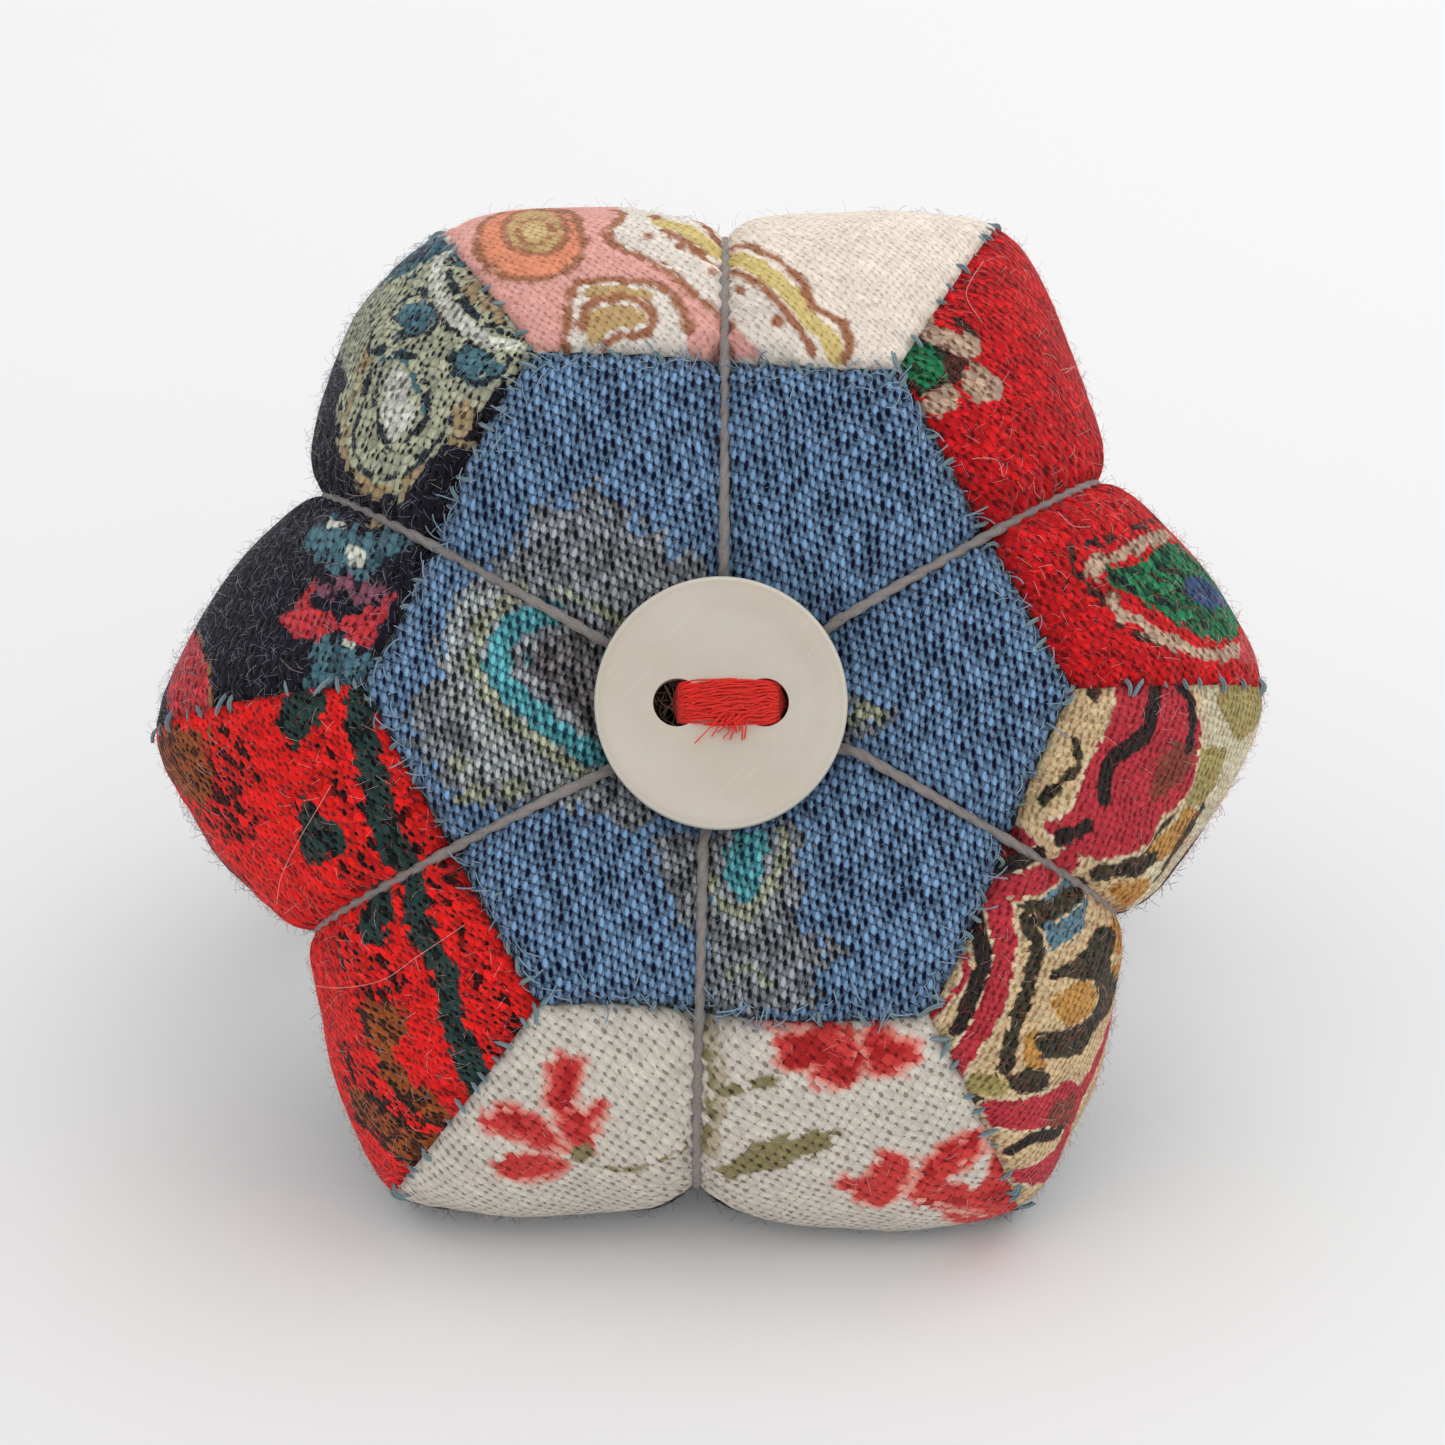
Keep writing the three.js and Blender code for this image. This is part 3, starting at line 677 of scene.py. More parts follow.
class Coat(Bench):
    # a material under construction
    def __init__(self, name, sockets):
        self.material = bpy.data.materials.new(name)
        self.material.use_nodes = True
        super().__init__(self.material.node_tree)
        self.shader = self.group.nodes["Principled BSDF"]
        for socket, value in sockets.items():
            self.shader.inputs[socket].default_value = value

    def flat(self):
        return self.make("ShaderNodeUVMap", {}, uv_map="cloth").outputs[0]

    def kept(self, name):
        return self.make("ShaderNodeAttribute", {}, attribute_name=name).outputs["Fac"]

    def place(self):
        # places on the piece in millimetres
        spot = self.make("ShaderNodeTexCoord", {}).outputs["Object"]
        return self.vector("SCALE", spot, scale=1000.0)

    def mix(self, share, first, second):
        return self.make("ShaderNodeMix", {0: share, 6: first, 7: second}, data_type="RGBA").outputs[2]

    def ease(self, value, low, high, start=0.0, end=1.0):
        node = self.make("ShaderNodeMapRange", {0: value, 1: low, 2: high, 3: start, 4: end},
                         interpolation_type="SMOOTHSTEP")
        return node.outputs[0]

    def noise(self, spot, scale, detail=2.0):
        return self.make("ShaderNodeTexNoise", {"Vector": spot, "Scale": scale, "Detail": detail}).outputs[0]

    def wander(self, spot, scale, reach):
        # a random shift of each place, up to half the reach each way
        noise = self.make("ShaderNodeTexNoise", {"Vector": spot, "Scale": scale, "Detail": 1.0})
        return self.vector("SCALE", self.vector("SUBTRACT", noise.outputs["Color"], (0.5,) * 3), scale=reach)

    def cells(self, spot, random, **settings):
        return self.make("ShaderNodeTexVoronoi", {"Vector": spot, "Scale": 1.0, "Randomness": random},
                         voronoi_dimensions="2D", **settings).outputs

    def shade(self, colour, level):
        if isinstance(colour, tuple):
            colour = colour[:3]
        return self.vector("SCALE", colour, scale=level)

    def finish(self, colour, height, depth, rough):
        bump = self.make("ShaderNodeBump", {"Height": height, "Distance": depth * mm, "Strength": 1.0})
        for socket, value in (("Base Color", colour), ("Roughness", rough), ("Normal", bump.outputs[0])):
            self.wire(value, self.shader, socket)
        return self.material


def settle(piece, replaced=()):
    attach(piece, "root")
    if replaced:
        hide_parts(*replaced)


lights = {
    "aim": (0, 0, 0.025),
    "sky": 0.9,
    "keyPower": 0.72,
    "keySize": 0.6,
    "keyPlace": (0.14, 0.19, 0.42),
    "fillPower": 0.16,
    "fillSize": 0.4,
    "fillPlace": (0.15, -0.45, 0.22),
    "floorReach": 2.0,
    "floorColour": 0.9,
    "floorLift": 0.06,  # what the camera sees the floor gain
    "backdrop": 0.97,
}


def makeLights():
    aim = Vector(lights["aim"])
    for name in ("key", "fill"):
        data = bpy.data.lights.new(name, "AREA")
        data.shape = "DISK"
        data.size = lights[name + "Size"]
        data.energy = lights[name + "Power"]
        lamp = bpy.data.objects.new(name, data)
        lamp.location = lights[name + "Place"]
        lamp.rotation_mode = "QUATERNION"
        lamp.rotation_quaternion = (lamp.location - aim).to_track_quat("Z", "Y")
        bpy.context.collection.objects.link(lamp)
    world = bpy.data.worlds.new("room")
    world.use_nodes = True
    world.node_tree.nodes.clear()
    room = Bench(world.node_tree)
    path = room.make("ShaderNodeLightPath", {}).outputs
    seen = room.math("ADD", path["Is Camera Ray"], path["Is Glossy Ray"], clamp=True)
    sky = room.make("ShaderNodeBackground", {"Strength": lights["sky"]})
    white = room.make("ShaderNodeBackground", {"Color": (lights["backdrop"],) * 3 + (1,)})
    mixed = room.make("ShaderNodeMixShader", {0: seen, 1: sky.outputs[0], 2: white.outputs[0]})
    room.make("ShaderNodeOutputWorld", {"Surface": mixed.outputs[0]})
    bpy.context.scene.world = world


def makeFloor():
    reach = lights["floorReach"]
    corners = [(-reach, -reach, 0), (reach, -reach, 0), (reach, reach, 0), (-reach, reach, 0)]
    floor = newPiece("floor", corners, [(0, 1, 2, 3)])
    paper = Coat("floorPaper", {"Base Color": (lights["floorColour"],) * 3 + (1,), "Roughness": 0.9,
                                "Specular IOR Level": 0.1})
    path = paper.make("ShaderNodeLightPath", {}).outputs
    seen = paper.math("MULTIPLY", path["Is Camera Ray"], lights["floorLift"])
    glow = paper.make("ShaderNodeEmission", {"Strength": seen})
    both = paper.make("ShaderNodeAddShader", {0: paper.shader.outputs[0], 1: glow.outputs[0]})
    paper.wire(both.outputs[0], paper.group.nodes["Material Output"], "Surface")
    floor.data.materials.append(paper.material)


# Weaves, measured from the picture: across is the step from one column of yarns to the next, along
# the step down a column, in millimetres right and up the picture. grain is the length, width and
# brightness of the yarn that shows at each step, second a smaller one and its place in the step, pit
# the length, width and depth of the hole, pitAt its place, line the width and depth of the dark line
# round each yarn, body how light the cloth is between, slant the direction that grains and pits lie in.
# The light grains are partly the yarn's own colour and partly painted highlight on the raised yarns; the
# dark pits and lines are partly the cloth's darker colour between yarns and partly painted shade there.
weaves = {
    "patchCentre": {"across": (0.553, -0.269), "along": (-0.09, 0.715), "slant": 84, "random": 0.2,
                    "grain": (0.64, 0.31, 0.52), "second": (0.38, 0.26, 0.36, 0.44, -0.235),
                    "pit": (0.5, 0.2, 1.0), "pitAt": (0.43, 0.49), "line": (0.09, 0.5), "body": 0.34,
                    "fray": 0.6, "relief": 0.14, "tone": 0.34, "waver": 0.12},
    "patchTop": {"across": (0.413, -0.36), "along": (0.178, 0.371), "slant": -45, "random": 0.5,
                 "grain": (0.5, 0.25, 0.25), "pit": (0.2, 0.13, 0.7), "line": (0.1, 0.15), "body": 0.86,
                 "fray": 1.0, "relief": 0.07, "tone": 0.08, "waver": 0.2},
    "patchUpperRight": {"across": (0.56, -0.30), "along": (0.143, 0.52), "slant": -40, "random": 0.75,
                        "grain": (0.5, 0.24, 0.36), "pit": (0.36, 0.2, 0.95), "line": (0.14, 0.3),
                        "body": 0.74, "fray": 1.3, "relief": 0.14, "tone": 0.3, "waver": 0.24},
    "patchUpperLeft": {"across": (0.497, -0.167), "along": (0.22, 0.587), "slant": 70, "random": 0.7,
                       "grain": (0.5, 0.3, 0.4), "pit": (0.32, 0.2, 1.0), "line": (0.13, 0.3), "body": 0.8,
                       "fray": 1.6, "relief": 0.16, "tone": 0.26, "waver": 0.24},
    "patchLowerLeft": {"across": (0.48, -0.22), "along": (-0.08, 0.56), "slant": -35, "random": 0.8,
                       "grain": (0.5, 0.24, 0.3), "pit": (0.34, 0.2, 1.0), "line": (0.12, 0.2), "body": 0.8,
                       "fray": 1.4, "relief": 0.13, "tone": 0.24, "waver": 0.24},
    "patchBottom": {"across": (0.578, -0.358), "along": (0.322, 0.511), "slant": -48, "random": 0.34,
                    "grain": (0.72, 0.3, 0.3), "pit": (0.27, 0.16, 0.9), "line": (0.12, 0.16), "body": 0.84,
                    "fray": 0.9, "relief": 0.12, "tone": 0.08, "waver": 0.2},
    "patchLowerRight": {"across": (0.454, -0.174), "along": (0.2, 0.40), "slant": 60, "random": 0.55,
                        "grain": (0.46, 0.22, 0.35), "pit": (0.28, 0.16, 0.85), "line": (0.12, 0.25),
                        "body": 0.76, "fray": 1.2, "relief": 0.1, "tone": 0.14, "waver": 0.2},
    "backCloth": {"across": (0.50, -0.18), "along": (0.14, 0.50), "slant": 60, "random": 0.5,
                  "grain": (0.55, 0.28, 0.5), "pit": (0.34, 0.2, 0.9), "line": (0.13, 0.4), "body": 0.62,
                  "fray": 1.2, "relief": 0.12, "tone": 0.25, "waver": 0.2},
    "elasticLoop": {"across": (0.0, 1.52), "along": (0.62, 0.0), "slant": 90, "random": 0.12,
                    "grain": (1.2, 0.42, 0.8), "pit": (0.5, 0.16, 0.9), "line": (0.1, 0.6), "body": 0.5,
                    "fray": 0.6, "relief": 0.1, "tone": 0.3, "waver": 0.1},
}

wool = {"Sheen Weight": 0.1, "Sheen Roughness": 0.5, "Specular IOR Level": 0.12}

# What every weave shares. A pitch is in steps per millimetre, an edge says where it starts and ends.
yarns = {
    "drift": (0.22, 0.9),  # pitch and reach of the slow bends
    "waverPitch": 2.2,
    "fibrePitch": (2.2, 8.0),  # along the yarn and across it
    "edge": (1.2, 0.6),
    "pitEdge": (1.3, 0.6),
    "pitAt": (-0.5, -0.35),
    "pitWander": 0.9,
    "lineEnd": 0.02,
    "lineWander": 0.12,
    "raggedPitch": 1.4,
    "fleckEdge": (0.48, 0.54),
    "looseTone": 0.6,  # how far single fibres are lighter and darker
    "wornPitch": 0.45,
    "wornTone": (0.3, 0.85),  # gain and least of the worn places
    # painted shade along the seams: the cloth is darker near each seam
    "paintedSeamShade": (0.0, 0.7, 0.7, 1.0),  # from and to what distance, and from and to what level
    "fibreHeight": 0.5,
    "rough": (-0.12, 0.97),
    "prints": {"rough": 0.1, "jitter": 0.25, "soft": 0.1, "grow": 0.0},  # where a dye doesn't say
}


def clothMaterial(name, turn, design):
    # turn gives the cloth's two flat axes in the picture
    coat = Coat(name, wool)
    weave = weaves[name]
    flatPlace = coat.flat()
    place = coat.vector("ADD", flatPlace, coat.wander(flatPlace, *yarns["drift"]))
    place = coat.vector("ADD", place, coat.wander(flatPlace, yarns["waverPitch"], weave["waver"]))
    slant = math.radians(weave["slant"])
    across, along, lie = (np.array([np.dot(direction, axis) for axis in turn]) for direction in
                          (weave["across"], weave["along"], (math.cos(slant), math.sin(slant))))
    aside = np.array([-lie[1], lie[0]])
    area = across[0] * along[1] - across[1] * along[0]
    column = coat.vector("DOT_PRODUCT", place, (along[1] / area, -along[0] / area, 0))
    row = coat.vector("DOT_PRODUCT", place, (-across[1] / area, across[0] / area, 0))
    lattice = coat.joined(column, row)
    lengthwise, crosswise = yarns["fibrePitch"]
    fibre = coat.noise(coat.joined(coat.vector("DOT_PRODUCT", place, (*lie * lengthwise, 0)),
                                   coat.vector("DOT_PRODUCT", place, (*aside * crosswise, 0))), 1.0, 3.0)
    loose = coat.math("SUBTRACT", fibre, 0.5)

    def spots(at, size):
        # an ellipse at a place in every step of the weave, and a number for each
        moved = coat.vector("SUBTRACT", lattice, (*at, 0))
        cells = coat.cells(moved, weave["random"])
        tint = coat.vector("SUBTRACT", cells["Color"], (0.5,) * 3)
        away = coat.vector("SUBTRACT", moved, cells["Position"])
        parts = []
        for direction, reach in ((lie, size[0]), (aside, size[1])):
            steps = (np.dot(across, direction) * 2 / reach, np.dot(along, direction) * 2 / reach, 0)
            share = coat.math("ABSOLUTE", coat.vector("DOT_PRODUCT", away, steps))
            parts.append(coat.math("POWER", share, 2.0))
        reach = coat.math("SQRT", coat.math("ADD", *parts))
        reach = coat.math("MULTIPLY_ADD", loose, weave["fray"], reach)
        chances = [coat.vector("DOT_PRODUCT", tint, axis) for axis in ((1, 0, 0), (0, 1, 0))]
        return reach, *chances

    # partly painted highlight: the raised yarn of each step is lighter
    reach, chance, fleck = spots((0, 0), weave["grain"])
    grain = coat.ease(reach, *yarns["edge"])
    level = coat.math("MULTIPLY_ADD", grain, weave["grain"][2], weave["body"])
    if "second" in weave:
        reach, _, _ = spots(weave["second"][3:], weave["second"])
        level = coat.math("MULTIPLY_ADD", coat.ease(reach, *yarns["edge"]), weave["second"][2], level)
    # partly painted shade: the holes and the lines between yarns are darker
    reach, pitChance, _ = spots(weave.get("pitAt", yarns["pitAt"]), weave["pit"])
    pit = coat.ease(coat.math("MULTIPLY_ADD", pitChance, yarns["pitWander"], reach), *yarns["pitEdge"])
    edge = coat.cells(lattice, weave["random"], feature="DISTANCE_TO_EDGE")["Distance"]
    line = coat.math("MULTIPLY_ADD", loose, yarns["lineWander"], edge)
    line = coat.ease(line, weave["line"][0], yarns["lineEnd"])
    level = coat.math("MULTIPLY", level, coat.math("MULTIPLY_ADD", line, -weave["line"][1], 1.0))
    level = coat.math("MULTIPLY", level, coat.math("MULTIPLY_ADD", pit, -weave["pit"][2], 1.0))

    light, gap = (dyed(colour) for colour in design["ground"])
    ragged = coat.math("SUBTRACT", coat.noise(flatPlace, yarns["raggedPitch"], 2.0), 0.5)
    for name, dye in design["layers"].items():
        dye = yarns["prints"] | dye
        edge = coat.math("MULTIPLY_ADD", ragged, dye["rough"] * 2, coat.kept(name))
        edge = coat.math("MULTIPLY_ADD", chance, dye["jitter"], edge)
        here = coat.ease(edge, dye["soft"], -dye["soft"])
        yarn, between = dyed(dye["light"]), dyed(dye["gap"])
        if "fleck" in dye:
            share, strength = dye["fleck"]
            start, end = (at - share for at in yarns["fleckEdge"])
            dark = coat.ease(fleck, start, end, 0.0, strength)
            yarn = coat.mix(dark, yarn, between)
        light = coat.mix(here, light, yarn)
        gap = coat.mix(here, gap, between)
    tone = coat.math("MULTIPLY_ADD", chance, weave["tone"] * 2, 1.0)
    tone = coat.math("MULTIPLY_ADD", loose, yarns["looseTone"], tone)
    worn = coat.noise(flatPlace, yarns["wornPitch"], 3.0)
    tone = coat.math("MULTIPLY", tone, coat.math("MULTIPLY_ADD", worn, *yarns["wornTone"]))
    colour = coat.shade(coat.mix(level, gap, light), tone)
    # painted shade: the cloth darkens towards each seam, where the crease would lie in shade
    colour = coat.shade(colour, coat.ease(coat.kept("seamAway"), *yarns["paintedSeamShade"]))
    height = coat.math("MULTIPLY_ADD", fibre, yarns["fibreHeight"], level)
    rough = coat.math("MULTIPLY_ADD", grain, *yarns["rough"])
    return coat.finish(colour, height, weave["relief"], rough)


# Prints. Each figure is drawn where the photograph shows it: its points are places in an enlarged
# view of the picture, which starts at corner and is zoom times as large. They are carried onto the
# flat cloth, and the distance to the figure's edge is kept on the mesh for the dye to follow.
# A dye: its name, its colour on the threads and between them, and its settings. rough and jitter are
# how unevenly its edge runs, soft how far it fades, fleck the share of dark yarns and how dark they are,
# same another dye whose figures it takes, grown by grow.
prints = {}


def newPatch(name, corner, zoom, light, gap):
    prints[name] = {"corner": corner, "zoom": zoom, "ground": (light, gap), "layers": {}}


def newDye(name, light, gap, **settings):
    layer = {"light": light, "gap": gap, "shapes": [], **settings}
    list(prints.values())[-1]["layers"][name] = layer


def draw(kind, *shape):
    list(list(prints.values())[-1]["layers"].values())[-1]["shapes"].append((kind, *shape))


def blob(*points):
    draw("blob", points)


def stroke(width, *points):
    draw("line", width, points)


def spot(middle, across, up):
    draw("spot", middle, across, up)


def ring(middle, across, up, width):
    draw("ring", middle, across, up, width)


newPatch("patchCentre", (0, 0), 1, (134, 172, 212), (0, 10, 42))
newDye("grey", (178, 184, 190), (20, 22, 30), rough=1.1, jitter=1.1, fleck=(0.22, 0.45))
blob((534, 499), (560, 508), (597, 480), (606, 510), (628, 505), (640, 532), (664, 526), (672, 552),
     (702, 556), (700, 620), (640, 700), (660, 800), (640, 828), (600, 820), (560, 802), (520, 808),
     (465, 800), (443, 781), (428, 759), (411, 737), (413, 709), (424, 690), (441, 677), (441, 651),
     (447, 625), (456, 599), (472, 582), (491, 562), (519, 540))
blob((700, 835), (760, 828), (808, 830), (800, 870), (801, 900), (787, 926), (838, 949), (815, 969),
     (809, 1003), (760, 1012), (708, 1010), (704, 920))
blob((660, 838), (704, 834), (706, 905), (690, 930), (672, 900), (655, 868))
blob((842, 700), (880, 703), (890, 716), (872, 735), (843, 742))
newDye("pale", (204, 212, 210), (34, 38, 44), rough=0.6, jitter=0.9)
stroke(26, (505, 588), (470, 606), (452, 648), (458, 690), (480, 725), (520, 758), (572, 795))
stroke(14, (700, 850), (712, 890), (742, 930))
spot((486, 770), 34, 16)
newDye("cream", (204, 208, 178), (34, 40, 36), rough=0.5, jitter=0.6)
stroke(17, (524, 592), (492, 615), (476, 650), (483, 685), (506, 712), (545, 745), (588, 778))
stroke(15, (785, 835), (781, 860), (768, 888), (742, 914), (716, 900), (704, 868))
spot((866, 714), 17, 10)
spot((460, 762), 13, 9)
spot((474, 795), 16, 9)
spot((512, 790), 14, 8)
stroke(9, (731, 972), (750, 968), (766, 982))
stroke(9, (556, 590), (600, 606), (628, 628))
newDye("turquoise", (112, 202, 212), (10, 54, 70), rough=0.4, jitter=0.5)
stroke(25, (548, 612), (518, 623), (497, 649), (502, 678), (527, 706), (557, 731), (600, 756))
blob((735, 835), (764, 830), (764, 872), (748, 903), (726, 884), (724, 860))
spot((532, 662), 8, 7)
newDye("core", (150, 144, 148), (12, 11, 15), rough=0.6, jitter=0.6, fleck=(0.3, 0.5))
blob((560, 634), (592, 640), (608, 672), (606, 735), (575, 716), (545, 690), (528, 668), (540, 646))
# painted shade: dark brown under the button for the shadowed hollow seen through its holes, partly the brown
# fibres in it
newDye("paintedHoleShade", (84, 68, 58), (16, 11, 9))
spot((721, 702), 84, 50)

# the ground is partly the cloth's own cream and partly painted light, set lighter for the stronger light on
# the top lobe
newPatch("patchTop", (0, 0), 1, (252, 240, 226), (216, 196, 176))
newDye("white", (242, 233, 222), (190, 172, 158))
blob((600, 190), (668, 190), (690, 240), (730, 272), (770, 290), (800, 325), (815, 352), (560, 352),
     (600, 240))
newDye("salmon", (240, 178, 168), (204, 132, 122), rough=0.15)
blob((430, 244), (452, 230), (480, 212), (520, 198), (600, 196), (623, 214), (612, 239), (657, 264),
     (686, 287), (707, 305), (728, 326), (760, 356), (690, 356), (688, 322), (678, 305), (665, 291),
     (644, 282), (595, 280), (575, 286), (567, 314), (565, 356), (520, 345), (500, 320), (470, 290))
newDye("orange", (238, 154, 120), (198, 104, 74))
spot((530, 243), 53, 36)
newDye("tan", (206, 174, 122), (150, 110, 70), rough=0.15)
spot((535, 232), 31, 22)
blob((580, 292), (600, 286), (630, 286), (652, 296), (640, 300), (600, 299))
blob((584, 318), (600, 308), (626, 305), (645, 315), (640, 326), (612, 330), (602, 345), (588, 340))
newDye("sand", (222, 196, 142), (164, 128, 84))
spot((535, 232), 12, 8)
newDye("yellow", (228, 206, 136), (180, 152, 92), rough=0.12)
stroke(21, (660, 222), (690, 232), (712, 250), (728, 263), (752, 264), (775, 280), (796, 300), (808, 318),
     (826, 335), (836, 356))
newDye("brown", (176, 118, 88), (126, 78, 56), rough=0.16, jitter=0.3, soft=0.2)
ring((530, 243), 54, 37, 9.5)
ring((535, 232), 32, 23, 9)
ring((535, 232), 18, 12, 6)
stroke(10, (612, 210), (624, 216), (608, 240), (657, 264), (686, 287), (707, 305), (730, 328))
stroke(10, (565, 350), (567, 314), (575, 287), (595, 280), (644, 282), (666, 291), (680, 306), (689, 330))
stroke(11, (582, 330), (584, 308), (600, 300), (630, 298), (649, 308), (653, 321), (645, 333), (618, 337),
     (604, 346))
stroke(10, (665, 214), (695, 221), (718, 245), (732, 251), (755, 248), (782, 263), (802, 283), (814, 307),
     (839, 320), (850, 340), (846, 358))
stroke(9, (663, 231), (686, 242), (707, 260), (732, 274), (761, 287), (782, 305), (798, 327), (812, 352))
spot((647, 236), 7, 3.5)
spot((680, 246), 6, 4)
spot((655, 218), 6, 2.5)
spot((711, 272), 5, 4)
spot((741, 291), 5, 5)
spot((777, 322), 6, 6)

newPatch("patchUpperLeft", (190, 230), 3.335, (31, 29, 42), (2, 2, 5))
newDye("sage", (192, 194, 164), (22, 30, 28), rough=0.35, jitter=0.8)
blob((900, 20), (800, -20), (680, 40), (570, 170), (520, 280), (490, 380), (520, 480), (500, 560),
     (492, 700), (520, 790), (580, 850), (680, 900), (740, 860), (800, 760), (870, 720), (945, 690),
     (960, 600), (1040, 530), (1110, 470), (1140, 400), (1150, 340), (1060, 270), (980, 170), (930, 90))
newDye("teal", (88, 132, 146), (12, 24, 34), rough=0.4, jitter=1.0, fleck=(0.2, 0.5))
blob((690, 290), (720, 240), (790, 220), (830, 270), (800, 320), (740, 350), (680, 335))
blob((870, 450), (900, 370), (960, 380), (1020, 410), (1060, 470), (1000, 500), (940, 520), (890, 490))
blob((800, 0), (870, 30), (800, 90), (740, 150), (660, 170), (640, 150), (700, 60))
stroke(26, (630, 400), (700, 415), (750, 470), (770, 540), (795, 600))
blob((390, 1040), (430, 970), (520, 980), (600, 1010), (680, 1000), (730, 1040), (700, 1090), (620, 1110),
     (560, 1170), (480, 1140), (420, 1090))
blob((430, 1360), (500, 1370), (560, 1400), (640, 1420), (580, 1500), (480, 1600), (400, 1600), (390, 1480))
newDye("tan", (192, 168, 126), (90, 76, 54), rough=0.4, jitter=0.8)
stroke(34, (592, 400), (560, 520), (520, 640), (518, 760), (600, 850), (700, 862), (760, 800))
blob((880, 590), (940, 580), (952, 660), (930, 712), (870, 710), (860, 650))
blob((900, 160), (960, 180), (1010, 240), (1060, 300), (990, 285), (930, 220))
spot((610, 985), 30, 14)
newDye("navy", (46, 58, 66), (8, 12, 16), rough=0.35, jitter=0.4)
stroke(18, (640, 470), (622, 560), (636, 660), (670, 735), (740, 690), (795, 620))
stroke(18, (604, 470), (572, 600), (545, 700), (580, 800), (650, 832), (740, 790), (830, 700), (862, 630))
stroke(24, (885, 70), (872, 160), (925, 260), (1005, 325), (1095, 355))
stroke(21, (775, 200), (830, 285), (900, 345), (1000, 415))
stroke(15, (600, 190), (610, 300), (600, 400), (640, 400), (760, 440), (800, 600))
ring((750, 290), 76, 64, 14)
ring((965, 440), 96, 68, 16)
stroke(14, (800, 20), (770, 90), (700, 150), (620, 170))
# the cream is partly the cloth's own colour and partly painted light, set lighter to make up for the shade
# the band lies in
newDye("cream", (238, 238, 226), (120, 124, 114), rough=0.25, jitter=0.35)
stroke(52, (868, 74), (822, 110), (826, 190), (860, 260), (930, 325), (1000, 372), (1092, 388))
blob((690, 450), (732, 500), (718, 545), (762, 582), (742, 640), (680, 700), (640, 640), (638, 570),
     (662, 500))
spot((555, 1085), 36, 34)
spot((490, 982), 38, 14)
spot((530, 1380), 26, 14)
spot((1098, 325), 26, 16)
newDye("mauve", (150, 90, 108), (44, 24, 34), rough=0.5, jitter=0.8)
stroke(52, (440, 1205), (520, 1180), (560, 1215), (655, 1212))
newDye("coral", (224, 66, 74), (122, 18, 26), rough=0.35, jitter=0.45)
blob((306, 1290), (350, 1262), (395, 1205), (410, 1175), (402, 1250), (450, 1268), (492, 1310), (442, 1352),
     (392, 1372), (340, 1342))
blob((505, 1302), (560, 1268), (640, 1250), (690, 1215), (652, 1290), (640, 1322), (592, 1392), (540, 1370),
     (500, 1330))
blob((-30, 1330), (30, 1370), (62, 1470), (76, 1600), (-60, 1620))
newDye("gold", (178, 140, 88), (96, 66, 40), rough=0.2)
stroke(12, (30, 1340), (62, 1440), (82, 1600))

newPatch("patchLowerLeft", (140, 640), 2.702, (252, 34, 32), (156, 18, 20))
newDye("char", (236, 36, 32), (18, 7, 9), rough=0.8, jitter=1.6, fleck=(0.27, 0.95))
blob((175, 250), (265, 225), (310, 330), (300, 480), (240, 560), (190, 490), (165, 350))
stroke(60, (520, 300), (560, 420), (600, 560), (560, 620))
stroke(60, (690, 400), (740, 520), (800, 580))
stroke(60, (560, 850), (700, 900), (600, 980))
stroke(60, (840, 660), (870, 800), (960, 1000), (980, 1110))
stroke(60, (560, 1130), (660, 1230), (780, 1330), (860, 1370))
stroke(40, (60, 240), (110, 400), (200, 560), (300, 660))
newDye("brown", (168, 88, 42), (38, 18, 13), rough=0.4, jitter=0.7, fleck=(0.25, 0.8))
blob((600, 990), (690, 980), (722, 1060), (692, 1130), (760, 1210), (852, 1290), (800, 1322), (740, 1280),
     (660, 1190), (620, 1100))
blob((566, 1200), (640, 1240), (720, 1300), (832, 1362), (762, 1422), (700, 1402), (620, 1322), (580, 1270))
blob((50, 250), (140, 240), (182, 330), (180, 440), (120, 420), (62, 340))
stroke(20, (190, 230), (176, 400), (150, 490))
newDye("soot", (60, 40, 36), (16, 10, 10), rough=0.4, jitter=0.9)
stroke(12, (600, 1000), (640, 1120), (700, 1230), (820, 1320))
stroke(12, (560, 1190), (640, 1250), (760, 1330))
stroke(14, (590, 1290), (680, 1380), (780, 1420))
newDye("green", (46, 72, 68), (4, 9, 11), rough=0.3, jitter=0.6, fleck=(0.2, 0.8))
stroke(82, (600, 150), (596, 260), (632, 370), (642, 460), (682, 570), (738, 645), (742, 720), (764, 800),
     (822, 900), (842, 1020), (882, 1120), (940, 1250))
blob((375, 200), (410, 140), (500, 140), (504, 200), (455, 250), (420, 292), (378, 250))
blob((435, 430), (500, 470), (550, 510), (562, 562), (500, 592), (460, 604), (430, 540), (430, 480))
blob((600, 740), (640, 650), (690, 690), (672, 760), (662, 822), (600, 832), (588, 790))

newPatch("patchBottom", (380, 980), 2.34, (224, 217, 206), (150, 136, 118))
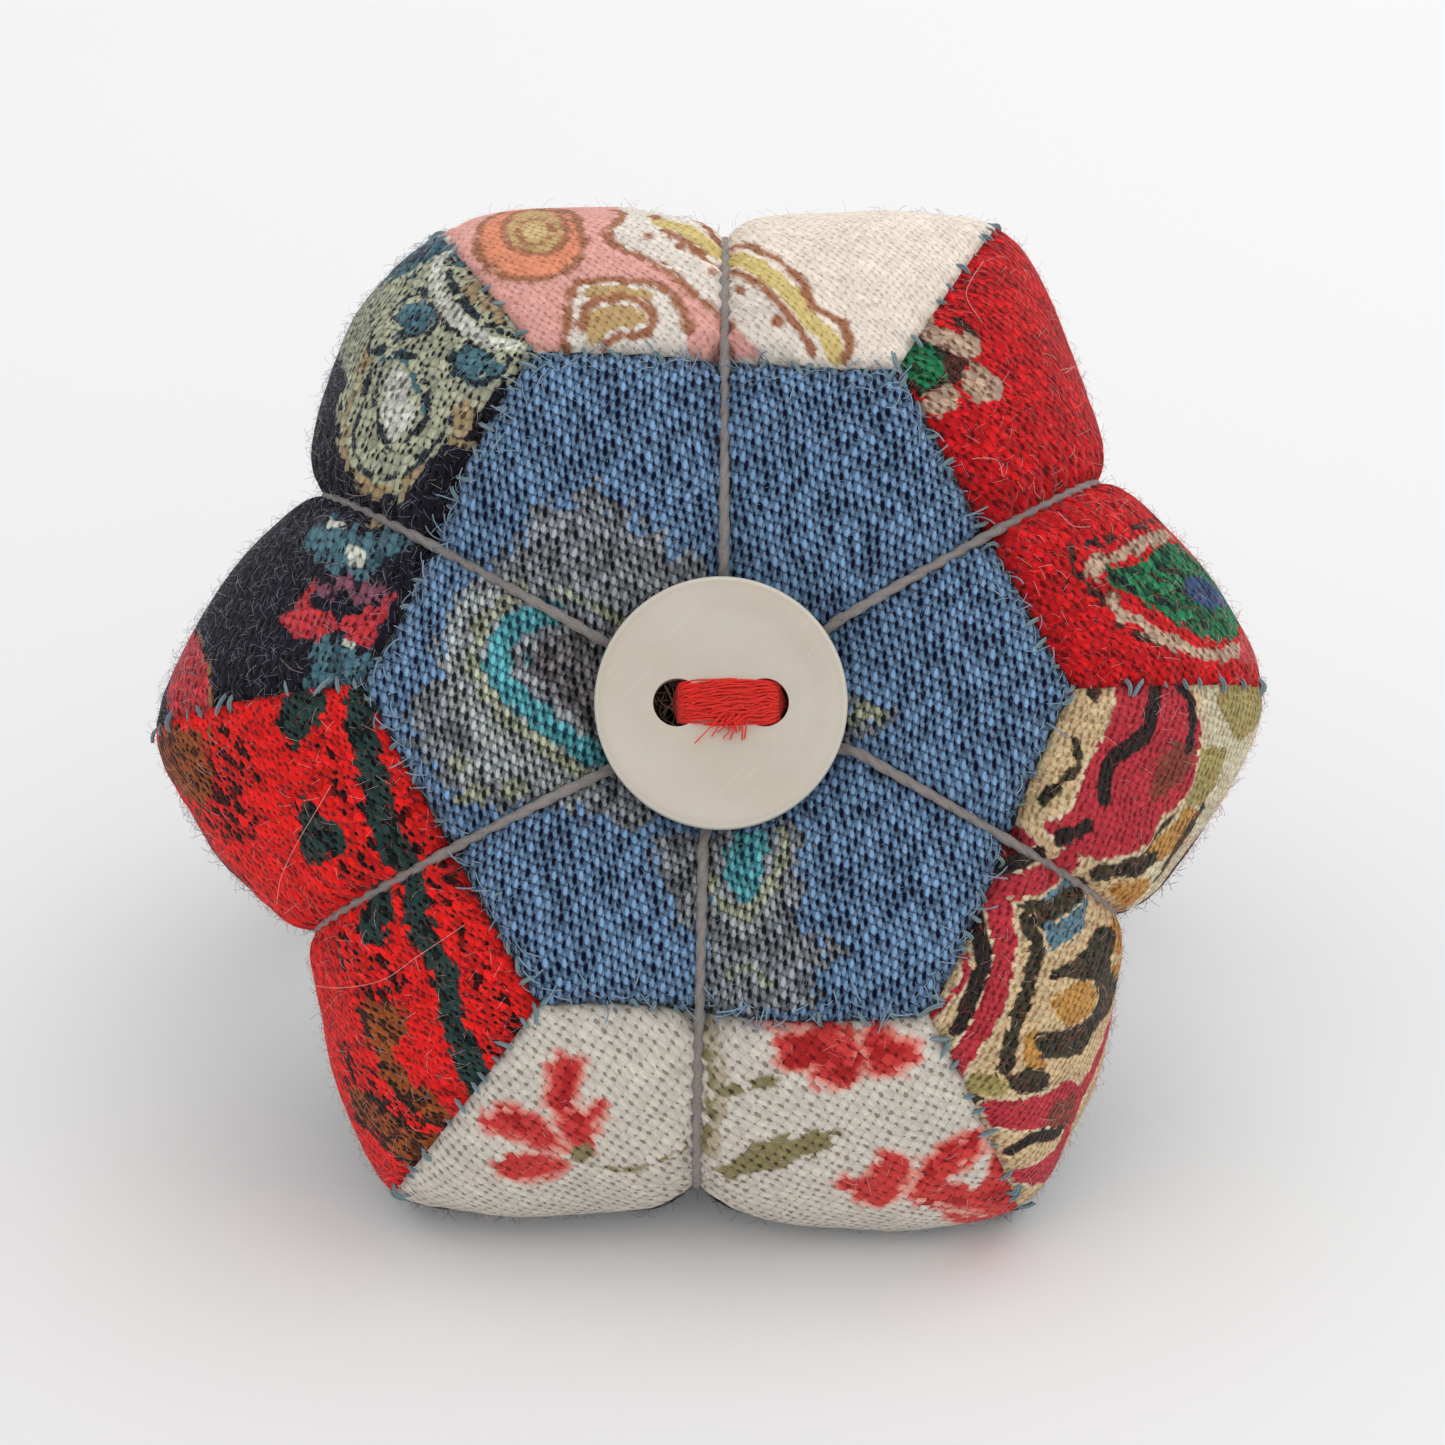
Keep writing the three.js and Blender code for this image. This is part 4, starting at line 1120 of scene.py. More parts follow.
# painted shade: a darker band along the thread's groove
newDye("shade", (196, 184, 160), (128, 112, 84), rough=0.5, jitter=0.5)
stroke(44, (745, 40), (770, 160), (790, 260), (768, 400))
newDye("pink", (238, 156, 142), (206, 112, 98), rough=0.3, jitter=0.6, soft=0.3, same="red", grow=0.4)
newDye("red", (216, 66, 64), (146, 28, 30), rough=0.35, jitter=0.7, soft=0.25)
blob((410, 190), (436, 178), (472, 200), (455, 260), (440, 292), (470, 306), (515, 286), (506, 350),
     (470, 400), (438, 372), (400, 290), (392, 230))
blob((248, 322), (290, 300), (350, 312), (420, 370), (445, 402), (380, 392), (310, 370), (252, 350))
blob((278, 442), (310, 410), (370, 410), (432, 432), (380, 462), (310, 466))
blob((930, 150), (958, 118), (1010, 112), (1040, 86), (1082, 110), (1112, 150), (1120, 200), (1080, 250),
     (1030, 240), (1000, 200), (960, 202))
blob((1134, 132), (1160, 98), (1200, 130), (1262, 150), (1240, 202), (1180, 216), (1138, 180))
blob((880, 76), (960, 60), (1062, 80), (1040, 106), (960, 108), (900, 98))
blob((1080, 470), (1140, 470), (1180, 408), (1232, 420), (1240, 460), (1190, 522), (1140, 522))
blob((1240, 502), (1290, 420), (1340, 380), (1400, 350), (1412, 400), (1340, 452), (1290, 502))
blob((1262, 512), (1340, 480), (1420, 470), (1500, 478), (1490, 530), (1400, 542), (1320, 526))
blob((1330, 545), (1400, 552), (1480, 545), (1450, 580), (1380, 575))
newDye("wine", (184, 40, 42), (112, 16, 22), rough=0.6, jitter=1.2, soft=0.2)
spot((1010, 165), 46, 34)
spot((1080, 190), 26, 34)
spot((1185, 165), 34, 20)
stroke(20, (440, 215), (430, 270), (470, 340))
stroke(16, (290, 320), (370, 350), (430, 392))
stroke(14, (1290, 520), (1400, 505), (1470, 500))
stroke(14, (1260, 480), (1320, 420), (1390, 375))
newDye("olive", (150, 140, 100), (66, 57, 28), rough=0.3, jitter=0.7, soft=0.2)
stroke(8, (496, 432), (560, 446), (620, 436), (708, 386))
stroke(20, (784, 272), (840, 246), (935, 234))
blob((790, 440), (840, 405), (900, 380), (975, 362), (1066, 360), (1040, 400), (960, 426), (880, 448),
     (820, 460))
spot((465, 405), 24, 20)
stroke(12, (742, 120), (776, 240), (772, 330), (756, 392))

newPatch("patchLowerRight", (880, 640), 2.6125, (232, 206, 162), (160, 126, 84))
newDye("pale", (234, 226, 196), (174, 158, 122), rough=0.3)
blob((790, 70), (960, 60), (1040, 160), (990, 300), (930, 430), (850, 560), (740, 640), (640, 700),
     (700, 600), (770, 470), (830, 330), (840, 200))
newDye("olive", (184, 170, 108), (108, 94, 50), rough=0.2)
blob((866, 90), (960, 70), (1020, 110), (1000, 190), (940, 262), (900, 200), (872, 140))
blob((820, 290), (902, 280), (890, 340), (850, 420), (800, 432), (768, 380))
blob((205, 1130), (300, 1140), (342, 1170), (300, 1192), (230, 1182))
newDye("ochre", (214, 160, 84), (124, 80, 36), rough=0.2)
blob((700, 540), (760, 490), (800, 440), (832, 450), (790, 532), (740, 572), (700, 572))
blob((610, 640), (700, 618), (692, 662), (640, 692), (598, 662))
blob((455, 930), (540, 886), (564, 940), (532, 992), (480, 1002), (448, 962))
blob((376, 1040), (408, 1030), (432, 1130), (386, 1142))
blob((588, 750), (636, 735), (640, 800), (600, 812))
spot((622, 870), 24, 30)
newDye("black", (78, 72, 56), (16, 14, 13), rough=0.2, jitter=0.3, fleck=(0.25, 0.6))
blob((556, 592), (640, 558), (722, 556), (702, 600), (620, 622), (566, 628))
stroke(26, (800, 380), (772, 440), (722, 500), (690, 560))
stroke(30, (842, 436), (802, 500), (762, 560), (722, 622))
blob((352, 690), (430, 640), (522, 616), (534, 662), (480, 722), (424, 764), (396, 710))
stroke(44, (380, 735), (412, 790), (396, 860), (380, 930), (352, 1010), (325, 1120))
blob((440, 880), (520, 822), (570, 750), (612, 760), (602, 850), (622, 900), (602, 962), (562, 1012),
     (522, 1082), (440, 1094), (398, 1062), (420, 1030), (500, 1012), (562, 960), (564, 900), (500, 884))
blob((338, 1140), (400, 1118), (442, 1130), (430, 1182), (380, 1194), (338, 1172))
spot((250, 1196), 26, 13)
stroke(20, (508, 262), (518, 330), (470, 372), (420, 424))
spot((560, 130), 24, 34)
newDye("slate", (108, 148, 164), (32, 54, 66), rough=0.2, jitter=0.4)
blob((430, 752), (480, 722), (534, 662), (542, 702), (522, 762), (470, 802), (434, 804))
blob((384, 656), (430, 640), (470, 620), (502, 622), (450, 672))
newDye("cream", (236, 218, 184), (176, 148, 110), same="rose", grow=0.24, rough=0.1)
newDye("rose", (208, 62, 74), (122, 24, 36), rough=0.12, jitter=0.35)
blob((620, 96), (690, 80), (760, 80), (802, 150), (836, 220), (826, 330), (790, 420), (732, 470),
     (690, 540), (600, 572), (520, 557), (470, 532), (430, 480), (500, 440), (540, 330), (600, 220))
blob((264, 540), (310, 488), (380, 500), (402, 540), (330, 572), (278, 582))
stroke(68, (492, 580), (400, 632), (300, 650), (312, 720), (326, 800), (310, 900), (280, 980), (232, 1060),
     (184, 1130))
stroke(18, (185, 790), (222, 832), (212, 900), (152, 962), (104, 1012))
spot((172, 818), 26, 18)
blob((262, 1212), (350, 1200), (440, 1180), (502, 1150), (522, 1212), (440, 1272), (340, 1282), (286, 1262))
blob((336, 1392), (400, 1370), (472, 1320), (452, 1402), (390, 1434), (346, 1412))
stroke(58, (622, 940), (582, 1060), (522, 1190), (472, 1330))
newDye("umber", (152, 76, 62), (84, 36, 32), rough=0.3, jitter=0.6)
blob((700, 402), (730, 300), (800, 268), (822, 302), (780, 382), (730, 412))
blob((440, 1232), (502, 1190), (492, 1262), (440, 1282))
newDye("ink", (54, 46, 44), (14, 12, 12), rough=0.12, jitter=0.2)
stroke(46, (722, 70), (712, 180), (692, 250), (622, 300), (590, 340), (585, 412))
stroke(32, (745, 84), (800, 140), (816, 200), (806, 282))
stroke(36, (468, 520), (544, 488))
stroke(50, (280, 600), (350, 582), (414, 560))
stroke(48, (222, 676), (256, 760), (272, 840), (250, 900), (204, 1012))
stroke(42, (336, 1334), (400, 1300), (466, 1286))

newPatch("patchUpperRight", (860, 220), 3.267, (226, 28, 34), (116, 8, 14))
newDye("umber", (84, 50, 42), (28, 14, 14), rough=0.35, jitter=0.5)
stroke(22, (690, 1060), (708, 1150), (788, 1240), (830, 1312), (910, 1350), (1050, 1410))
stroke(20, (740, 1060), (820, 1040), (900, 1008), (1000, 985))
stroke(18, (240, 322), (340, 345), (390, 420), (335, 482), (330, 540), (240, 556))
stroke(30, (276, 505), (352, 438))
blob((130, 360), (330, 380), (340, 520), (200, 580), (120, 470))
newDye("beige", (216, 188, 162), (126, 88, 72), rough=0.25, jitter=0.45)
blob((150, 345), (230, 306), (262, 352), (340, 372), (392, 400), (382, 450), (330, 442), (280, 416),
     (220, 398), (160, 372))
blob((342, 492), (400, 482), (464, 532), (444, 592), (380, 592), (330, 550))
blob((216, 572), (290, 542), (332, 592), (272, 632), (230, 644), (196, 604))
spot((776, 1130), 40, 44)
stroke(42, (838, 1102), (900, 1068), (1010, 1030))
stroke(50, (828, 1246), (852, 1292), (912, 1312), (962, 1352), (1050, 1392), (1150, 1422), (1250, 1400))
newDye("green", (40, 138, 90), (8, 40, 30), rough=0.3, jitter=0.45, fleck=(0.25, 0.7))
blob((112, 388), (180, 390), (270, 450), (282, 512), (230, 552), (180, 542), (124, 470))
blob((800, 1130), (880, 1132), (960, 1082), (1030, 1056), (1096, 1110), (1184, 1200), (1236, 1290),
     (1226, 1364), (1150, 1372), (1060, 1332), (960, 1272), (880, 1212), (818, 1182))
newDye("pine", (30, 62, 54), (8, 24, 22), rough=0.4, jitter=0.5)
stroke(13, (820, 1160), (1000, 1256), (1150, 1336))
stroke(11, (860, 1140), (1020, 1190), (1160, 1290))
stroke(9, (930, 1112), (1080, 1180))
newDye("blue", (66, 100, 146), (20, 36, 62), rough=0.3)
blob((1056, 1200), (1100, 1166), (1184, 1220), (1196, 1262), (1120, 1264))
newDye("coral", (224, 84, 90), (170, 50, 56), rough=0.2)
blob((1244, 1350), (1300, 1390), (1320, 1450), (1246, 1446))

newPatch("backCloth", (0, 0), 1, (50, 47, 62), (10, 9, 14))

ink = {"reach": 1.6, "pixel": 0.0598, "near": 14, "grazing": 0.1, "pick": 3}


def readyForInk(sheet, solid=False):
    # the part of the cloth that the camera sees: its places in the picture and on the flat cloth, or in
    # space with its normals
    pick = (slice(None, None, ink["pick"]), slice(None, None, ink["pick"]))
    points, normal = sheet["points"][pick], sheet["normal"][pick]
    view = toPad(np.array(cameraStand()[0])) - points
    view /= np.linalg.norm(view, axis=-1, keepdims=True)
    seen = (normal * view).sum(axis=-1) > ink["grazing"]
    if solid:
        return pictureOf(points[seen]), points[seen], normal[seen]
    return pictureOf(points[seen]), sheet["flat"][pick][seen]


def onCloth(ready, spots):
    # carries picture places onto the flat cloth by the nearest part of it, and a little past its edge
    picture, flat = ready
    placed = []
    for spot in spots:
        away = picture - spot
        near = np.argpartition((away ** 2).sum(axis=1), ink["near"])[:ink["near"]]
        known = np.column_stack([away[near], np.ones(len(near))])
        placed.append(np.linalg.lstsq(known, flat[near], rcond=None)[0][2])
    return np.array(placed)


def lineAway(places, line):
    # each place's distance to a line, and whether it lies inside it, were the line closed
    start, step = line[:-1], np.diff(line, axis=0)
    away = places[:, None, :] - start
    share = np.clip((away * step).sum(axis=-1) / np.maximum((step ** 2).sum(axis=-1), 1e-9), 0, 1)
    distance = np.linalg.norm(away - share[..., None] * step, axis=-1).min(axis=1)
    crosses = (start[:, 1] > places[:, 1:]) != (line[1:, 1] > places[:, 1:])
    rise = np.where(np.abs(step[:, 1]) < 1e-9, 1e-9, step[:, 1])
    at = start[:, 0] + (places[:, 1:] - start[:, 1]) * step[:, 0] / rise
    return distance, (crosses & (places[:, :1] < at)).sum(axis=1) % 2 == 1


def inkEdge(sheet, ready, shapes, corner, zoom):
    # millimetres from each point of the cloth to the nearest figure's edge, negative inside it
    flat = sheet["flat"].reshape(-1, 2)
    best = np.full(len(flat), ink["reach"])
    for kind, *shape in shapes:
        width = 0.0
        if kind in ("spot", "ring"):
            a = np.arange(16) * math.pi / 8
            outline = np.array(shape[0]) + np.stack([shape[1] * np.cos(a), shape[2] * np.sin(a)], axis=-1)
            width = shape[3] if kind == "ring" else 0.0
        elif kind == "line":
            width, outline = shape[0], np.array(shape[1], float)
        else:
            outline = np.array(shape[0], float)
        closed = kind != "line"
        line = onCloth(ready, np.array(corner) + outline / zoom)
        count = len(line)
        line = spline(line, np.arange(0, count if closed else count - 1 + 1e-9, 1 / 6), closed)
        if closed:
            line = np.concatenate([line, line[:1]])
        low, high = line.min(axis=0) - ink["reach"] - width, line.max(axis=0) + ink["reach"] + width
        near = np.flatnonzero(((flat > low) & (flat < high)).all(axis=1))
        if not len(near):
            continue
        distance, inside = lineAway(flat[near], line)
        if kind in ("line", "ring"):
            edge = distance - width / zoom * ink["pixel"] / 2
        else:
            edge = np.where(inside, -distance, distance)
        best[near] = np.minimum(best[near], edge)
    return np.maximum(best, -ink["reach"]).reshape(sheet["flat"].shape[:2])


patchNodes = {
    "patchCentre": ("centre_patch", "blue_wool"),
    "patchUpperRight": ("patch_upper_right", "crimson_print"),
    "patchTop": ("patch_top", "salmon_print"),
    "patchUpperLeft": ("patch_upper_left", "navy_print"),
    "patchLowerLeft": ("patch_lower_left", "scarlet_print"),
    "patchBottom": ("patch_bottom", "ivory_print"),
    "patchLowerRight": ("patch_lower_right", "sand_print"),
    "backCloth": ("back_panel", "navy_wool"),
}


def makePatches():
    for name, (node, slotName) in patchNodes.items():
        sheet, design = sheets[name], prints[name]
        ready = readyForInk(sheet)
        marks = {"seamAway": sheet["seamAway"]}
        for layer, dye in design["layers"].items():
            shapes = design["layers"][dye.get("same", layer)]["shapes"]
            edge = inkEdge(sheet, ready, shapes, design["corner"], design["zoom"])
            marks[layer] = edge - (yarns["prints"] | dye)["grow"]
        piece = sheetMesh(name, marks)
        turn = grooveDirection(sideNames.index(name))[::-1] if name in sideNames else ((1, 0), (0, 1))
        piece.data.materials.append(clothMaterial(name, turn, design))
        settle(piece, [node])
        print(name, "printed")


def flossMaterial(name, colour, contrast, shine):
    # spun thread: fine fibre noise and slow blotches in its tone
    coat = Coat(name, shine)
    place = coat.place()
    fibre = coat.noise(place, 5.0, 4.0)
    blotch = coat.noise(place, 0.8, 2.0)
    tone = coat.math("MULTIPLY_ADD", fibre, contrast, 1 - contrast / 2)
    tone = coat.math("MULTIPLY", tone, coat.math("MULTIPLY_ADD", blotch, 0.4, 0.8))
    rough = coat.math("MULTIPLY_ADD", fibre, 0.3, 0.6)
    return coat.finish(coat.shade(dyed(colour), tone), fibre, 0.06, rough)


def pearlMaterial():
    coat = Coat("pearl", {"Coat Weight": 0.35, "Coat Roughness": 0.22, "Specular IOR Level": 0.5,
                          "Subsurface Weight": 0.15, "Subsurface Scale": 0.0015})
    place = coat.place()
    flatPlace = coat.flat()
    out = coat.vector("LENGTH", flatPlace)
    streak = coat.noise(coat.joined(coat.vector("DOT_PRODUCT", flatPlace, (0.13, 0.13, 0)),
                                    coat.vector("DOT_PRODUCT", flatPlace, (-1.1, 1.1, 0))), 1.0, 3.0)
    cloud = coat.noise(coat.vector("MULTIPLY", place, (0.5, 1.0, 0.8)), 0.22, 3.0)
    band = coat.make("ShaderNodeTexWave", {"Vector": place, "Scale": 0.045, "Distortion": 5.0, "Detail": 3.0,
                                           "Detail Scale": 0.35}, bands_direction="DIAGONAL").outputs[1]
    grain = coat.noise(place, 3.0, 3.0)
    colour = coat.mix(coat.ease(cloud, 0.35, 0.65), dyed((212, 203, 188)), dyed((208, 198, 182)))
    colour = coat.mix(coat.ease(band, 0.45, 0.95, 0.0, 0.3), colour, dyed((216, 208, 197)))
    colour = coat.mix(coat.ease(streak, 0.6, 0.78, 0.0, 0.5), colour, dyed((226, 219, 208)))
    # a darker band just inside the edge, then a painted highlight along the rounded edge
    colour = coat.mix(coat.ease(out, 6.9, 7.3, 0.0, 0.3), colour, dyed((196, 186, 168)))
    colour = coat.mix(coat.ease(out, 7.3, 7.5, 0.0, 0.7), colour, dyed((232, 227, 214)))
    colour = coat.shade(colour, coat.math("MULTIPLY_ADD", grain, 0.06, 0.97))
    height = coat.math("MULTIPLY_ADD", grain, 0.4, cloud)
    rough = coat.math("MULTIPLY_ADD", cloud, 0.2, 0.28)
    return coat.finish(colour, height, 0.03, rough)


def feltMaterial():
    coat = Coat("feltBlue", {"Sheen Weight": 0.5, "Sheen Roughness": 0.6, "Specular IOR Level": 0.1})
    place = coat.place()
    lengthwise = coat.noise(coat.vector("MULTIPLY", place, (0.6, 3.0, 3.0)), 2.2, 3.0)
    crosswise = coat.noise(coat.vector("MULTIPLY", place, (3.0, 0.6, 0.9)), 2.0, 3.0)
    hairs = coat.math("MAXIMUM", lengthwise, crosswise)
    patchy = coat.noise(place, 0.25, 3.0)
    colour = coat.mix(coat.ease(hairs, 0.5, 0.72), dyed((40, 50, 74)), dyed((104, 118, 142)))
    colour = coat.shade(colour, coat.math("MULTIPLY_ADD", patchy, 0.6, 0.7))
    rough = coat.math("MULTIPLY_ADD", hairs, -0.1, 1.0)
    return coat.finish(colour, hairs, 0.3, rough)


def fillMaterial():
    coat = Coat("fillWhite", {"Sheen Weight": 0.3, "Specular IOR Level": 0.1})
    place = coat.place()
    tuft = coat.noise(place, 0.9, 4.0)
    wisp = coat.noise(coat.vector("MULTIPLY", place, (1.0, 4.0, 1.5)), 1.6, 3.0)
    colour = coat.mix(coat.ease(wisp, 0.35, 0.7), dyed((212, 205, 190)), dyed((240, 236, 226)))
    rough = coat.math("MULTIPLY_ADD", tuft, 0.1, 0.9)
    return coat.finish(colour, coat.math("ADD", tuft, wisp), 0.25, rough)


def guardMaterial():
    coat = Coat("cloudyPlastic", {"Transmission Weight": 0.45, "IOR": 1.49, "Specular IOR Level": 0.5})
    place = coat.place()
    haze = coat.noise(place, 0.3, 3.0)
    scuff = coat.noise(coat.vector("MULTIPLY", place, (6.0, 0.5, 1.0)), 1.2, 2.0)
    colour = coat.mix(haze, dyed((214, 218, 214)), dyed((236, 238, 234)))
    rough = coat.math("MULTIPLY_ADD", scuff, 0.3, 0.22)
    return coat.finish(colour, scuff, 0.01, rough)


def makeGuard():
    guard = bpy.data.objects["guard_disc"]
    guard.data.materials.clear()
    guard.data.materials.append(guardMaterial())


filling = {"inset": 0.95, "backDepth": 8.4, "lump": 0.12}


def makeFilling():
    points = skin(filling["inset"])
    points[..., 2] = np.maximum(points[..., 2], -filling["backDepth"])
    points = pressed(points, filling["inset"])
    wave = np.sin(points[..., [1, 2, 0]] * 2.3 + 1.7 * np.sin(points[..., [2, 0, 1]] * 1.1))
    points += filling["lump"] * wave
    piece = newPiece("filling", toWorld(points), quads(grid(*points.shape[:2]), True, True))
    piece.data.materials.append(fillMaterial())
    settle(piece, ["stuffing"])


# The thread that draws the pad into lobes: up through the middle, out along a groove, round the
# edge, in along the back, six times.
thread = {
    "radius": 0.35,
    "seat": 0.48,  # cloth to the thread's middle line
    "lane": 1.9,
    "foot": -8.9,
    "head": 6.0,
    "patchSteps": 12,
    "shoulderSteps": 16,
    "backSweeps": (0.92, 0.1, 9),  # the first, the last and how many
    "flatSteps": 7,
    "strandShare": 0.76,
    "pitch": 2.9,
    "step": 0.2,
    "sides": 8,
    "shine": {"Sheen Weight": 0.3, "Specular IOR Level": 0.35},
}


def evenly(line, count, end=True):
    # points at even steps along a line, and how far along it each is
    length = np.append(0, np.cumsum(np.linalg.norm(np.diff(line, axis=0), axis=1)))
    at = np.linspace(0, length[-1], count, endpoint=end)
    return np.stack([np.interp(at, length, column) for column in line.T], axis=-1), at


def roundedPath(points, step):
    # a smooth line through the points, at an even spacing
    points = np.asarray(points, float)
    line = spline(points, np.linspace(0, len(points) - 1, len(points) * 12), False)
    total = np.linalg.norm(np.diff(line, axis=0), axis=1).sum()
    return evenly(line, max(4, int(total / step) + 1))[0]


def threadPoints(k):
    groove = firstGroove + k * sector
    grooveAt = np.array([groove])
    lane, core, seat = thread["lane"], pad["coreRadius"], thread["seat"]
    points = [polar(lane, groove, thread["foot"]), polar(lane, groove, thread["head"])]
    lip = facePoint(grooveAt, faceSweep(grooveAt, core))[0]
    for share in (0, 1 / 3, 2 / 3):
        a = share * math.pi / 2
        points.append(polar(core - seat * math.cos(a), groove, lip[2] + seat * math.sin(a)))
    for radius in np.linspace(core + 2 * thread["radius"], pad["hexagonApothem"], thread["patchSteps"]):
        points.append(facePoint(grooveAt, faceSweep(grooveAt, radius), -seat)[0])
    shoulder = faceSweep(grooveAt, pad["hexagonApothem"])
    for share in np.linspace(0, 1, thread["shoulderSteps"])[1:]:
        points.append(facePoint(grooveAt, shoulder + (1 - shoulder) * share, -seat)[0])
    for sweep in np.linspace(*thread["backSweeps"]):
        points.append(backPoint(grooveAt, np.array([sweep]), -seat)[0])
    for radius in np.linspace(pad["backFlatRadius"] - 1, core + 0.5, thread["flatSteps"]):
        points.append(backAt(grooveAt, np.array([radius]), 1.0, -seat)[0])
    low = backAt(grooveAt, np.array([core]), 1.0, -seat)[0][2]
    points.append(polar(lane + 2 * thread["radius"], groove + sector / 3, low + thread["radius"]))
    points.append(polar(lane + thread["radius"] / 3, groove + sector * 3 / 4, low + 3 * thread["radius"]))
    return points


def pathObject(name, paths):
    piece = newPiece(name, toWorld(np.concatenate(paths)), [], smooth=False)
    ends = np.cumsum([len(path) for path in paths])
    lonely = set((ends - 1).tolist())
    edges = [(i, i + 1) for i in range(ends[-1]) if i not in lonely]
    piece.data.edges.add(len(edges))
    piece.data.edges.foreach_set("vertices", np.ravel(edges))
    return piece


def grown(piece, tree, lengths, numbers):
    # runs the tree on the piece; lengths are in millimetres
    modifier = piece.modifiers.new("grow", "NODES")
    modifier.node_group = tree
    sizes = {name: length * mm for name, length in lengths.items()} | numbers
    for item in tree.interface.items_tree:
        if item.in_out == "INPUT" and item.name in sizes:
            modifier[item.identifier] = sizes[item.name]
    return applied(piece)


def twistedThreadTree(material):
    tree = Tree("twistedThread")
    strands = tree.size("Strands", 2, "NodeSocketInt")
    radius = tree.size("Thread Radius", 0.45 * mm)
    share = tree.size("Strand Share", 0.56)
    pitch = tree.size("Twist Pitch", 2.0 * mm)
    step = tree.size("Step", 0.15 * mm)
    sides = tree.size("Sides", 8, "NodeSocketInt")
    many = tree.make("GeometryNodeDuplicateElements", {"Geometry": tree.line(step), "Amount": strands},
                     domain="SPLINE")
    along = tree.make("GeometryNodeSplineParameter", {}).outputs["Length"]
    turns = tree.math("ADD", tree.math("DIVIDE", along, pitch),
                      tree.math("DIVIDE", many.outputs["Duplicate Index"], strands))
    angle = tree.math("MULTIPLY", turns, 2 * math.pi)
    normal = tree.make("GeometryNodeInputNormal", {}).outputs[0]
    tangent = tree.make("GeometryNodeInputTangent", {}).outputs[0]
    side = tree.vector("CROSS_PRODUCT", tangent, normal)
    reach = tree.math("MULTIPLY", radius, tree.math("SUBTRACT", 1.0, share))
    aside = tree.vector("ADD", tree.vector("SCALE", normal, scale=tree.math("COSINE", angle)),
                        tree.vector("SCALE", side, scale=tree.math("SINE", angle)))
    placed = tree.make("GeometryNodeSetPosition", {"Geometry": many.outputs[0],
                                                   "Offset": tree.vector("SCALE", aside, scale=reach)})
    tube = tree.tube(placed.outputs[0], tree.math("MULTIPLY", radius, share), sides)
    return tree.finish(tube, material)


def spun(name, paths, coat, step, sides, radius, strands=1, share=0.95, pitch=3.0):
    piece = pathObject(name, [roundedPath(path, step) for path in paths])
    return grown(piece, twistedThreadTree(coat),
                 {"Thread Radius": radius, "Twist Pitch": pitch, "Step": step},
                 {"Strands": strands, "Strand Share": share, "Sides": sides})


def makeThread():
    points = sewn(np.array([point for k in range(lobes) for point in threadPoints(k)]))
    coat = flossMaterial("threadTaupe", (146, 138, 135), 0.6, thread["shine"])
    piece = spun("dividerThread", [points], coat, thread["step"], thread["sides"], thread["radius"],
                 2, thread["strandShare"], thread["pitch"])
    settle(piece, ["divider_thread"])


felt = {
    "radius": 18.5,
    "thickness": 2.0,
    "top": -12.32,
    "overStrap": -13.8,
    "ridge": 10.3,
    "foot": 12.1,
    "edgeRound": 0.7,
    "lump": 0.06,
    "rings": 60,
    "segments": 240,
}


def feltTop(y):
    # the felt lies over the strap and comes up to the back on either side of it
    fold = np.clip((np.abs(y) - felt["ridge"]) / (felt["foot"] - felt["ridge"]), 0, 1)
    return felt["overStrap"] + (felt["top"] - felt["overStrap"]) * fold * fold * (3 - 2 * fold)


# Whipped seams: short arched stitches of pale thread across every seam, spaced and turned by hand.
stitches = {
    "colour": (124, 148, 156),
    "seam": {"Stitch Pitch": 1.55, "Stitch Length": 1.5, "Strand Radius": 0.075, "Spread": 0.075,
             "Rise": 0.22, "End Depth": 0.35},
    "seamShares": {"Wildness": 0.6, "Share Kept": 0.8, "Seed": 7},
    "felt": {"Stitch Pitch": 2.7, "Stitch Length": 2.5, "Strand Radius": 0.075, "Spread": 0.075,
             "Rise": 0.22, "End Depth": 1.3},
    "feltShares": {"Wildness": 0.35, "Share Kept": 1.0, "Seed": 8},
    "feltArc": 49,  # degrees from each end of the strap's middle to where the felt is sewn down
    "strands": ((-1.0, 0.9, 0.9), (0.1, 1.08, 1.15), (1.0, 0.96, 0.8)),  # each one's side, reach and lift
    "slant": 0.25,
    "slide": 0.6,
    "stretch": (0.7, 1.35),
}


def turnedOut(vectors):
    return (toWorld(vectors) - toWorld(np.zeros(3))) / mm


def seamObject(name, seams):
    # lines along the seams; each point knows which way is out and which way is over the seam
    piece = pathObject(name, [points for points, out, over in seams])
    for layer, pick in (("out", 1), ("over", 2)):
        vectors = np.concatenate([turnedOut(seam[pick]) for seam in seams])
        vectors /= np.linalg.norm(vectors, axis=-1, keepdims=True)
        kept = piece.data.attributes.new(layer, "FLOAT_VECTOR", "POINT")
        kept.data.foreach_set("vector", vectors.ravel())
    return piece


